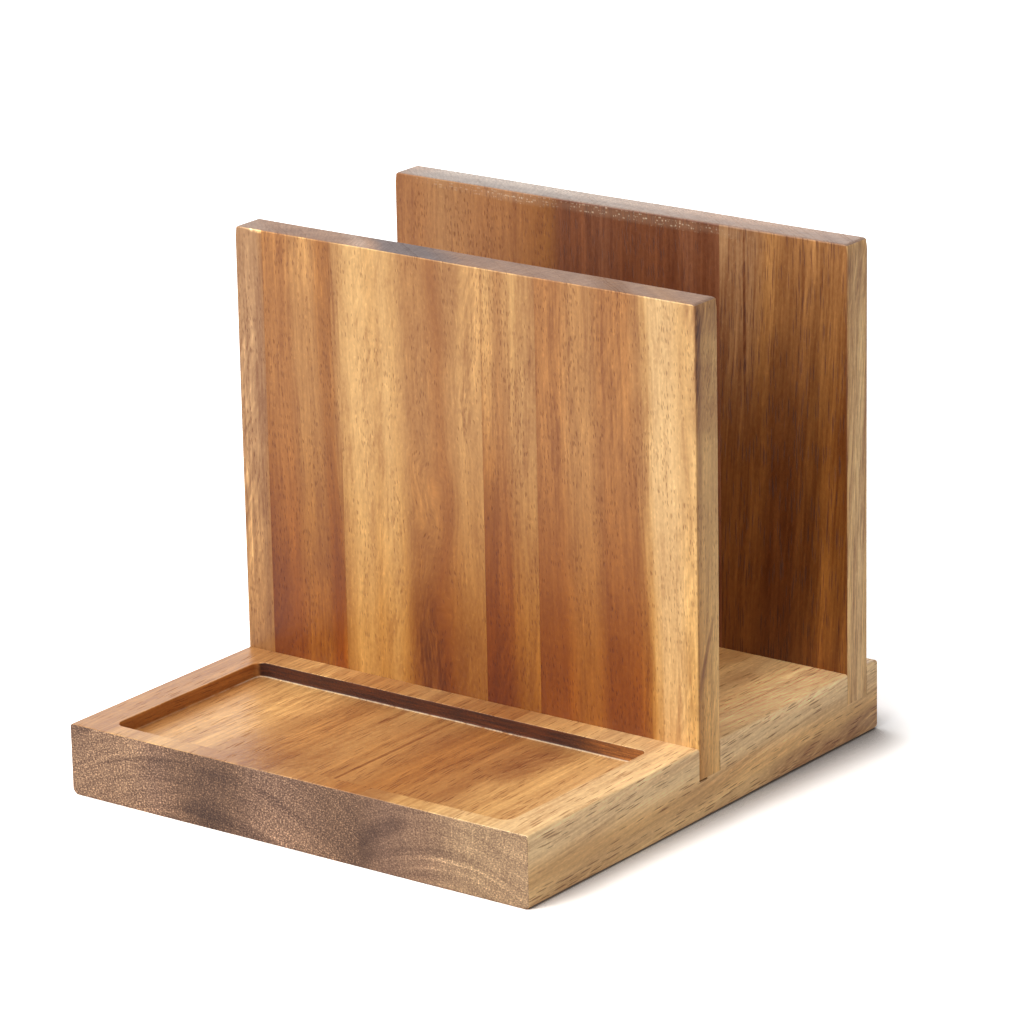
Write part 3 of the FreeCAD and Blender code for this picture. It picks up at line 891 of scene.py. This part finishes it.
BASE_STAVES = (
    Stave("base_stave_left", "acacia_brown",
          ((0, "caramel"), (8, "caramel"), (14, "caramel"), (20, "tan"), (30, "amber"), (38, "amber"),
           (48, "tan"), (58, "caramel"), (66, "caramel"), (74, "tan"), (80, "tan"), (86, "caramel"),
           (98, "caramel"), (106, "russet"), (114.3, "russet")),
          ((0, "husk"), (24, "husk"), (34, "moor"), (44, "loam"), (54, "clay"), (64, "loam"),
           (74, "moor"), (84, "moor"), (104, "loam"), (114.3, "loam")),
          sides=((0, "chestnut"), (23.5, "russet")), seed=9.0, figure=0.5, pores=0.6, heart=(50, 102.5),
          vessel=(0.8, 14.0), cove=(18.7, 19.1), worn=0.3, open=0.34, speckle=1.3,
          ring=3.2, rings=0.6, ringed=True, routed=(4.0, 86.0),
          stains=(Flame(92, 91, 20, 8.5, 0.26), Flame(56, 84, 9, 6, -0.3), Flame(50, 83.6, 26, 1.0, -0.3),
                  Flame(62, 97.5, 8, 3.5, -0.3), Flame(50, 93.2, 34, 1.8, -0.22), Flame(4, 112, 9, 4, -0.4),
                  Flame(86, 98.8, 16, 1.2, -0.3), Flame(24, 98.6, 24, 0.7, -0.3), Flame(34, 84, 10, 3.0, 0.2),
                  Flame(22, 102, 28, 2.4, 0.1), Flame(112, 108, 4, 20, -0.1), Flame(78, 83, 12, 3.5, -0.14)),
          flames=(Flame(60, 12, 12, 18, -0.16), Flame(34, 55, 8, 45, 0.1), Flame(26, 90, 8, 10, 0.24),
                  Flame(73, 3, 7, 12, -0.2), Flame(79, 52, 5, 26, -0.1), Flame(92, 46, 0.7, 44, -0.4),
                  Flame(74, 16, 9, 22, -0.18), Flame(60, 50, 5, 18, 0.12), Flame(73, 72, 1.2, 12, -0.4),
                  Flame(60, 40, 6, 22, 0.1), Flame(42, 66, 10, 14, 0.14), Flame(48, 20, 7, 14, -0.1))),
    Stave("base_stave_right", "acacia_golden",
          ((96, "russet"), (116, "caramel"), (121, "tan"), (127, "amber"), (132, "amber"), (139, "honey"),
           (150, "straw"), (160, "straw"), (168, "cream"), (178, "cream")),
          ((114.3, "loam"), (124, "moor"), (140, "husk"), (156, "shell"), (178, "shell")),
          sides=((0, "straw"), (4, "straw"), (8, "honey"), (11, "honey"), (14, "straw"), (17, "cream"),
                 (23.5, "cream")),
          seed=10.0, figure=0.5, tilt=3.0, pores=0.6, heart=(148, 72), ring=2.6, rings=0.5, ringed=True,
          vessel=(1.1, 12.0), climb=0.12, cove=(18.7, 19.1), worn=0.2, open=0.34, open_sides=0.5, speckle=0.8,
          routed=(4.0, 86.0),
          stains=(Flame(117, 64.5, 6, 5.5, -0.4), Flame(126, 68, 7, 3.2, -0.34),
                  Flame(148, 58, 36, 0.8, 0.26),
                  Flame(150, 54.5, 26, 0.6, 0.16), Flame(148, 60.6, 36, 1.0, -0.14),
                  Flame(148, 52, 20, 1.2, -0.12), Flame(136, 63, 14, 6, -0.14)),
          # The first flame paints light onto the base's top at its right end, round the slot between the
          # panels.
          flames=(deep_flame(168, 150, 14, 42, 0.28, 0.0, 23.5, 5.0, grey=True),
                  deep_flame(150, 148, 5, 14, -0.14, 0.1, 23.5, 4.0),
                  deep_flame(138, 166, 6, 12, -0.18, 0.1, 23.5, 4.0),
                  side_flame(126, 46, 0.26, 11.0, 4.5),
                  side_flame(60, 70, 0.14, 22.0, 4.0),
                  side_flame(26, 26, -0.1, 10.0, 4.0),
                  side_flame(152, 34, -0.6, 2.5, 6.5, grey=False),
                  side_flame(185, 22, -0.55, 4.0, 8.0),
                  deep_flame(136, 64, 7, 22, -0.3, 0.0, 18.7, 3.0),
                  deep_flame(128, 50, 6, 40, -0.12, 0.0, 18.7, 3.0),
                  Flame(118, 3, 6, 12, -0.22))),
)


# ---------------------------------------------------------------- boards


REAR_EASE = 0.4          # a panel's rear edges are this share as round as its front ones
SHARP = 0.01             # millimetres, the corners of a cutter that is meant to be sharp
TRAY_CLEAR = 3.0         # millimetres that the tray's cutter rises above the base
WANDER = 0.05            # millimetres that the router wandered
GROOVE_CLEAR = 60.0      # millimetres, a height above the base
GAP_START = 0.05         # millimetres in front of the panel, where its gap starts
GAP_LAP = 0.3            # millimetres of the groove that the gap's cutter takes with it


def panel_boards(staves, sizes):
    """Each stave of a panel with its board, from the left: only the outer two have rounded outer corners."""
    seam, edge, corner = sizes.glue_line / MM, sizes.panel_edge / MM, sizes.panel_corner / MM
    for stave in staves:
        low, high = box_mm(stave.node)
        first, last = stave is staves[0], stave is staves[-1]
        left, right = (edge if first else seam), (edge if last else seam)
        radii = (right, right * REAR_EASE, left * REAR_EASE, left)
        yield stave, Board(tuple(low), tuple(high - low), radii, (seam, edge),
                           (0.0, corner if first else 0.0), (0.0, corner if last else 0.0))


def make_panel(staves, context, seed):
    """Builds and finishes every stave of a panel."""
    sizes, finish = context.scene.holder_sizes, context.scene.holder_finish
    low, high = box_mm(staves[0].node)
    grain = Grain(*PANEL_AXES, tuple(low), high[1] - low[1], high[2] - low[2])
    for stave, board in panel_boards(staves, sizes):
        rings = board_rings(board, sizes.sanding / MM, seed)
        piece = shell(stave.node + "_board", with_flat_ends(rings, opposite()))
        hand_over(piece, stave.node, stave.slot, acacia(stave, grain, finish))


def plain_block(name, low, high):
    """A sharp block used as a cutter, from its lowest to its highest corner."""
    width, thick, tall = np.subtract(high, low)
    loop = section_loop(width, thick, (SHARP,) * 4, 1, 1, 1)
    rings = np.stack([np.column_stack([loop, np.full(len(loop), rise)]) for rise in (0.0, tall)])
    return shell(name, with_flat_ends(rings + low, opposite(1, 1)))


def tray_cutter(sizes, low, high):
    """The router's path for the tray: a rounded rectangle drawn in or out by the profile below. The profile
    runs up the cove (r - r cos a), the wall, and out over the sanded rim, and the whole path wobbles."""
    cove, rim, corner = sizes.tray_cove / MM, sizes.tray_rim / MM, sizes.tray_corner / MM
    tight = sizes.tray_tight_corner / MM
    top = high[2]
    floor = top - sizes.tray_depth / MM
    turn = np.radians(np.linspace(0.0, 90.0, 7))
    over = turn[1:]
    draw = np.concatenate([cove * (1 - np.sin(turn)), [0.0], -rim * (1 - np.cos(over)), [-rim]])
    height = np.concatenate([floor + cove * (1 - np.cos(turn)), [top - rim], top - rim + rim * np.sin(over),
                             [top + TRAY_CLEAR]])
    loops = []
    for inward in draw:
        radii = (corner - inward, tight - inward, corner - inward, corner - inward)
        loop = section_loop(high[0] - low[0] - 2 * inward, high[1] - low[1] - 2 * inward, radii, 8, 60, 30)
        loops.append(loop + np.array([low[0] + inward, low[1] + inward]))
    loops = np.array(loops)
    x, y = loops[..., 0], loops[..., 1]
    wobble = WANDER * np.stack([np.sin(y / 5.0 + x / 9.0), np.sin(x / 6.5 + 1.0)], axis=-1)
    levels = np.broadcast_to(height[:, None, None], (*x.shape, 1))
    rings = np.concatenate([loops + wobble, levels], axis=-1)
    return shell("tray_cutter", with_flat_ends(rings, opposite(8, 30)))


def groove_cutters(sizes):
    """One saw groove for each panel, a little wider than the panel."""
    room = sizes.groove_room / MM / 2
    for staves in (FRONT_STAVES, REAR_STAVES):
        low, high = box_mm(staves[0].node)
        yield plain_block("groove_cutter", (CAD_BOUNDS[0].x / MM - CUT_OVERSHOOT, low[1] - room, low[2]),
                          (CAD_BOUNDS[1].x / MM + CUT_OVERSHOOT, high[1] + room, GROOVE_CLEAR))


def gap_cutter(sizes):
    """The short gap that the saw left under the front panel's front lower corner at the right end."""
    low, _ = box_mm(FRONT_STAVES[0].node)
    side = CAD_BOUNDS[1].x / MM
    return plain_block("gap_cutter",
                       (side - sizes.gap_reach / MM, low[1] - GAP_START, low[2] - sizes.gap_depth / MM),
                       (side + CUT_OVERSHOOT, low[1] + sizes.gap_length / MM, low[2] + GAP_LAP))


def base_board(stave, sizes):
    """A base stave's board, whose outer side and outer corners are rounded more than the glued seam."""
    low, high = box_mm(stave.node)
    first = stave is BASE_STAVES[0]
    seam, top, foot = sizes.glue_line / MM, sizes.base_top_edge / MM, sizes.base_foot_edge / MM
    radii = (seam, seam, top, foot) if first else (foot, top, seam, seam)
    ends = (sizes.base_end_edge / MM, sizes.base_rear_edge / MM)
    square = (0.0, 0.0)
    return Board((low[0], low[2], low[1]), (high[0] - low[0], high[2] - low[2], high[1] - low[1]),
                 radii, ends, ends if first else square, square if first else ends)


def make_base(context, seed):
    """Builds the two base staves, then routs the tray, the grooves and the screws' recesses."""
    sizes, finish = context.scene.holder_sizes, context.scene.holder_finish
    left_low, right_high = box_mm(BASE_STAVES[0].node)[0], box_mm(BASE_STAVES[1].node)[1]
    panel_front = box_mm(FRONT_STAVES[0].node)[0][1]
    grain = Grain(*BASE_AXES, tuple(left_low), right_high[2] - left_low[2], right_high[1] - left_low[1])
    tray_low = (left_low[0] + sizes.tray_side / MM, left_low[1] + sizes.tray_front / MM, 0.0)
    tray_high = (right_high[0] - sizes.tray_side / MM, panel_front - sizes.tray_back / MM, right_high[2])
    for stave in BASE_STAVES:
        low, high = box_mm(stave.node)
        rings = board_rings(base_board(stave, sizes), sizes.sanding / MM, seed)
        piece = shell(stave.node + "_board", lying(with_flat_ends(rings, opposite())))
        cutters = [tray_cutter(sizes, tray_low, tray_high), *groove_cutters(sizes)]
        if stave is BASE_STAVES[-1]:
            cutters.append(gap_cutter(sizes))
        cutters += [screw_cutter(place) for place in screw_places() if low[0] < place[0] < high[0]]
        carve(piece, cutters)
        hand_over(piece, stave.node, stave.slot, acacia(stave, grain, finish))


# ---------------------------------------------------------------- screws, in millimetres


SCREW_SPACING = 120.0           # between a panel's two screws
WELL = (3.65, 0.8)              # radius and depth of the straight well that a head lies in
WELL_CONE = 2.2                 # rise of the cone above the well
WELL_START = -2.0               # height at which its cutter starts, below the base
BORE = (1.6, 20.0)              # radius of the bore, and the height that it reaches
RECESS_STEPS = 32               # points round a recess
SCREW_STEPS = 48                # and round a screw
HEAD_RADIUS = 3.35              # of the head's flat face
HEAD_POINTS = 26                # rings of points on it
AXIS_RADIUS = 0.02              # of the smallest ring at either end
HEAD_CONE = ((3.5, 0.85), (3.5, 1.05), (1.75, 2.8), (1.5, 3.1), (1.5, 9.0))   # radius and height
TIP = ((0.7, 31.6), (0.2, 32.6), (AXIS_RADIUS, 32.8))
CORE_RADIUS = 1.15              # of the threaded part under its ridge
THREAD = (9.2, 30.2)            # heights of its first and last ring
THREAD_POINTS = 147             # seven rings a millimetre
THREAD_PITCH = 1.5
THREAD_DEPTH = 0.6
THREAD_FADE = (31.0, 2.0)       # height where the ridge has gone, and over how much height it goes
RIDGE_SHARPNESS = 3.2           # 2 / this is the share of a turn that the ridge takes up
CROSS = (0.42, 0.12, 1.9, 0.5)  # half width of an arm, its flank, half length and its flank
CROSS_DEPTH = 1.3
CROSS_WELL = (0.85, 0.25, 1.5)  # radius of the middle, its flank and its depth
BRUSH_DEPTH = 0.01              # of the brushing's relief


def screw_places():
    """Where the screws stand: two under the middle of each panel."""
    for staves in (FRONT_STAVES, REAR_STAVES):
        low, high = box_mm(staves[0].node)
        for side in (-1, 1):
            yield side * SCREW_SPACING / 2, (low[1] + high[1]) / 2


def screw_cutter(place):
    """The recess of a countersunk screw, turned about its axis: a well, a cone and a bore."""
    radius = np.array([WELL[0], WELL[0], BORE[0], BORE[0]])[:, None]
    height = np.array([WELL_START, WELL[1], WELL[1] + WELL_CONE, BORE[1]])[:, None]
    angle = np.linspace(0.0, 2 * np.pi, RECESS_STEPS, endpoint=False)
    x, y = place[0] + radius * np.cos(angle), place[1] + radius * np.sin(angle)
    return shell("screw_cutter", with_flat_ends(np.stack([x, y, np.broadcast_to(height, x.shape)], axis=-1)))


def screw_rings(place):
    """A countersunk screw as one surface turned about its axis: the head's face with a cross pressed in, the
    cone, the neck, and a thread whose ridge climbs one pitch a turn. The thread's radius is
    core + depth * clip(1 - sharpness * |t - 0.5|), where t is the fraction of z / pitch - angle / 2 pi."""
    face_radius = np.linspace(AXIS_RADIUS, HEAD_RADIUS, HEAD_POINTS)
    face = np.stack([face_radius, np.full(HEAD_POINTS, WELL[1])], axis=1)
    climb = np.linspace(*THREAD, THREAD_POINTS)
    thread = np.stack([np.full(len(climb), CORE_RADIUS), climb], axis=1)
    profile = np.concatenate([face, HEAD_CONE, thread, TIP])
    angle = np.linspace(0.0, 2 * np.pi, SCREW_STEPS, endpoint=False)
    radius, height = profile[:, :1], profile[:, 1:]
    turn = (height / THREAD_PITCH - angle / (2 * np.pi)) % 1.0
    ridge = np.clip(1 - np.abs(turn - 0.5) * RIDGE_SHARPNESS, 0.0, 1.0)
    end, fade = THREAD_FADE
    threaded = (height >= THREAD[0]) & (height < end)
    radius = radius + np.where(threaded, THREAD_DEPTH * ridge * np.clip((end - height) / fade, 0, 1), 0.0)
    x, y = radius * np.cos(angle), radius * np.sin(angle)
    arm, reach = np.minimum(np.abs(x), np.abs(y)), np.maximum(np.abs(x), np.abs(y))
    half_width, flank, half_length, end_flank = CROSS
    pressed = np.clip((half_width - arm) / flank, 0, 1) * np.clip((half_length - reach) / end_flank, 0, 1)
    middle, middle_flank, middle_depth = CROSS_WELL
    sunk = np.clip((middle - radius) / middle_flank, 0, 1)
    on_face = np.arange(len(profile))[:, None] < HEAD_POINTS
    height = height + np.where(on_face, np.maximum(CROSS_DEPTH * pressed, middle_depth * sunk), 0.0)
    return np.stack([place[0] + x, place[1] + y, np.broadcast_to(height, x.shape)], axis=-1)


def zinc(finish):
    """Bright zinc plate: a cool metal, faintly brushed round the head and dulled in patches."""
    g = Graph(bpy.data.materials.new("screw_zinc"))
    (x, y, z), _ = g.place()
    haze = g.noise((x + z) / 2, (y + z) / 2, detail=3)
    brush = g.noise((x + y) / 0.12, z / 0.5, detail=1)
    plate = g.blend(haze * 0.5 + 0.5, finish.zinc[:], finish.dull_zinc[:])
    colour = g.deepen(plate, brush * 0.03, LONG_TINGE)
    roughness = haze * 0.08 + brush * 0.03 + 0.32
    return g.surface(colour, roughness, brush * 0.3 + haze * 0.2, BRUSH_DEPTH * MM, Metallic=1.0)


def make_screws(context):
    """Four screws in one piece, as in the CAD."""
    shells = [shell("panel_screws_turned", with_flat_ends(screw_rings(place))) for place in screw_places()]
    joined = bmesh.new()
    for one in shells:
        joined.from_mesh(one.data)
    joined.to_mesh(shells[0].data)
    joined.free()
    for one in shells[1:]:
        bpy.data.objects.remove(one)
    hand_over(shells[0], "panel_screws", "zinc_steel", zinc(context.scene.holder_finish))


# ---------------------------------------------------------------- stage


SENSOR = 36.0                  # millimetres across the camera's sensor
CAMERA_LENS = 187.6            # millimetres
CAMERA_TURN = 36.78            # degrees to the right of straight ahead
CAMERA_RISE = 17.53            # degrees above level
CAMERA_ROLL = -1.12            # degrees
CAMERA_REACH = 1668.9          # millimetres from the panel to the lens
CAMERA_SHIFT = (15.32, -4.13)  # millimetres that the view moves right and up from the panel's middle
CAMERA_AIM = (0.0, -6.25, 89.0)     # the middle of the front panel's face, in millimetres
CAMERA_CLIP = (0.05, 50.0)     # metres
SURROUND = 0.42                # strength of the light that comes from all round
FLOOR_REACH = 2.0              # metres
FLOOR_GREY = 0.86              # how pale light and mirrors find the floor
FLOOR_SEEN = 1.95              # and how bright the camera does, which is white
SHADE_REACH = 26.0             # millimetres within which the object's painted shadow reaches over the floor
SHADE_LEAN = (-0.75, -0.55, 0.9)    # the way to the softboxes from the floor
SHADE_OPEN = (0.3, 0.85)       # how open the floor is where it is deepest and where it is plain
SHADE_DEEPEST = 0.14
SHADE_SAMPLES = 12
FRONT_LIFT = 1.95              # how much lighter the painted shadow is in front of the object
FRONT_LIFT_ENDS = (-90.0, 85.0)     # millimetres of y between which that fades


class Softbox(NamedTuple):
    """A square lamp: where it hangs and how wide and tall it is, in metres, and its watts."""

    name: str
    place: tuple
    size: tuple
    power: float


SOFTBOX_AIM = (0.0, 0.0, 0.08)      # metres
SOFTBOXES = (
    Softbox("Overhead softbox", (-0.3, -0.35, 1.25), (1.7, 1.3), 14.5),
    Softbox("Front softbox", (-0.75, -1.45, 0.75), (0.9, 0.9), 10.0),
    Softbox("Rear softbox", (-0.8, 1.07, 0.55), (1.2, 0.7), 2.0),
)


def place_camera(scene):
    """Puts the camera on a ray from the front panel: its axes come from turn, rise and roll."""
    turn, rise, roll = (math.radians(a) for a in (CAMERA_TURN, CAMERA_RISE, CAMERA_ROLL))
    back = Vector((math.sin(turn) * math.cos(rise), -math.cos(turn) * math.cos(rise), math.sin(rise)))
    level = Vector((math.cos(turn), math.sin(turn), 0.0))
    upward = back.cross(level)
    right = level * math.cos(roll) + upward * math.sin(roll)
    up = upward * math.cos(roll) - level * math.sin(roll)
    lens = bpy.data.cameras.new("Camera")
    lens.lens = CAMERA_LENS
    lens.sensor_width = SENSOR
    lens.clip_start, lens.clip_end = CAMERA_CLIP
    camera = bpy.data.objects.new("Camera", lens)
    scene.collection.objects.link(camera)
    spot = Vector(CAMERA_AIM) + right * CAMERA_SHIFT[0] + up * CAMERA_SHIFT[1] + back * CAMERA_REACH
    camera.matrix_world = Matrix.LocRotScale(spot * MM, Matrix((right, up, back)).transposed(), None)
    scene.camera = camera


def seen_share(graph):
    """1 for rays from the camera, from gloss or through glass, and 0 for the light on the object."""
    path = graph.nodes.new("ShaderNodeLightPath")
    share = path.outputs["Is Camera Ray"]
    for name in ("Is Glossy Ray", "Is Transmission Ray"):
        share = graph.math("MAXIMUM", share, path.outputs[name])
    return share


def light_world(scene):
    """A plain white surround: dim for the light on the object, and white where it is seen or mirrored."""
    g = Graph(bpy.data.worlds.new("Surround"))
    background = g.nodes.new("ShaderNodeBackground")
    g.feed(background.inputs["Strength"], g.spread(seen_share(g), 0.0, 1.0, SURROUND, 1.0))
    scene.world = g.finish(background, "ShaderNodeOutputWorld")


def floor_material():
    """Matt pale floor. Light and mirrors find it grey, and the camera sees it brighter, as white. Close to
    the object, away from the softboxes, occlusion that leans towards them deepens what the camera sees: a
    painted shadow, weaker in front of the object."""
    g = Graph(bpy.data.materials.new("pale_floor"))
    (_, y, _), _ = g.place()
    corner = g.nodes.new("ShaderNodeAmbientOcclusion")
    corner.samples = SHADE_SAMPLES
    corner.inputs["Distance"].default_value = SHADE_REACH * MM
    g.links.new(g.vector(*Vector(SHADE_LEAN).normalized()), corner.inputs["Normal"])
    shade = g.spread(corner.outputs["AO"], *SHADE_OPEN, SHADE_DEEPEST, 1.0)
    lift = g.spread(y, *FRONT_LIFT_ENDS, FRONT_LIFT, 1.0)
    bright = g.spread(shade * lift, 0.0, 1.0, 0.0, FLOOR_SEEN)
    camera_ray = g.nodes.new("ShaderNodeLightPath").outputs["Is Camera Ray"]
    matt = g.nodes.new("ShaderNodeBsdfDiffuse")
    g.feed(matt.inputs["Color"], g.spread(camera_ray, 0.0, 1.0, FLOOR_GREY, bright))
    return g.finish(matt)


def lay_floor(scene):
    """A flat square at the foot of the base."""
    corners = [(x * FLOOR_REACH, y * FLOOR_REACH, 0.0) for x, y in ((-1, -1), (1, -1), (1, 1), (-1, 1))]
    mesh = bpy.data.meshes.new("floor")
    mesh.from_pydata(corners, [], [(0, 1, 2, 3)])
    mesh.materials.append(floor_material())
    floor = bpy.data.objects.new("floor", mesh)
    scene.collection.objects.link(floor)


def hang(scene, softbox):
    """A softbox that looks at the object and isn't seen itself."""
    light = bpy.data.lights.new(softbox.name, "AREA")
    light.shape = "RECTANGLE"
    light.size, light.size_y = softbox.size
    light.energy = softbox.power
    lamp = bpy.data.objects.new(softbox.name, light)
    scene.collection.objects.link(lamp)
    place = Vector(softbox.place)
    turned = (Vector(SOFTBOX_AIM) - place).to_track_quat("-Z", "Y")
    lamp.matrix_world = Matrix.LocRotScale(place, turned, None)
    lamp.visible_camera = False


# ---------------------------------------------------------------- the add-on


class HOLDER_OT_front_panel(bpy.types.Operator):
    """Make the front panel from five glued acacia staves"""

    bl_idname = "holder.front_panel"
    bl_label = "Front panel"

    def execute(self, context):
        make_panel(FRONT_STAVES, context, seed=0.7)
        return {"FINISHED"}


class HOLDER_OT_rear_panel(bpy.types.Operator):
    """Make the rear panel from three glued acacia staves"""

    bl_idname = "holder.rear_panel"
    bl_label = "Rear panel"

    def execute(self, context):
        make_panel(REAR_STAVES, context, seed=3.1)
        return {"FINISHED"}


class HOLDER_OT_base(bpy.types.Operator):
    """Make the two base staves with the routed tray and the panels' grooves"""

    bl_idname = "holder.base"
    bl_label = "Base"

    def execute(self, context):
        make_base(context, seed=2.0)
        return {"FINISHED"}


class HOLDER_OT_screws(bpy.types.Operator):
    """Make the four countersunk screws that hold the panels from below"""

    bl_idname = "holder.screws"
    bl_label = "Panel screws"

    def execute(self, context):
        make_screws(context)
        return {"FINISHED"}


class HOLDER_OT_stage(bpy.types.Operator):
    """Lay a pale floor, hang soft light and place the camera"""

    bl_idname = "holder.stage"
    bl_label = "Stage"

    def execute(self, context):
        scene = context.scene
        scene.view_settings.view_transform = "Standard"
        place_camera(scene)
        light_world(scene)
        lay_floor(scene)
        for softbox in SOFTBOXES:
            hang(scene, softbox)
        return {"FINISHED"}


class HOLDER_PT_sidebar(bpy.types.Panel):
    """Lists the steps that make the holder, and its sizes and tones"""

    bl_idname = "HOLDER_PT_sidebar"
    bl_label = "Napkin Holder"
    bl_space_type = "VIEW_3D"
    bl_region_type = "UI"
    bl_category = "Holder"

    def draw(self, context):
        for step in STEPS:
            self.layout.operator(step.bl_idname)
        for group in (context.scene.holder_sizes, context.scene.holder_finish):
            column = self.layout.column(align=True)
            for name in group.__annotations__:
                column.prop(group, name)


STEPS = (HOLDER_OT_front_panel, HOLDER_OT_rear_panel, HOLDER_OT_base, HOLDER_OT_screws, HOLDER_OT_stage)
CLASSES = (HolderSizes, HolderFinish, *STEPS, HOLDER_PT_sidebar)


def register():
    for cls in CLASSES:
        bpy.utils.register_class(cls)
    bpy.types.Scene.holder_sizes = PointerProperty(type=HolderSizes)
    bpy.types.Scene.holder_finish = PointerProperty(type=HolderFinish)


def unregister():
    del bpy.types.Scene.holder_finish
    del bpy.types.Scene.holder_sizes
    for cls in reversed(CLASSES):
        bpy.utils.unregister_class(cls)


def main():
    """Registers the add-on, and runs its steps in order."""
    register()
    bpy.ops.holder.front_panel()
    bpy.ops.holder.rear_panel()
    bpy.ops.holder.base()
    bpy.ops.holder.screws()
    bpy.ops.holder.stage()


if __name__ == "__main__":
    main()
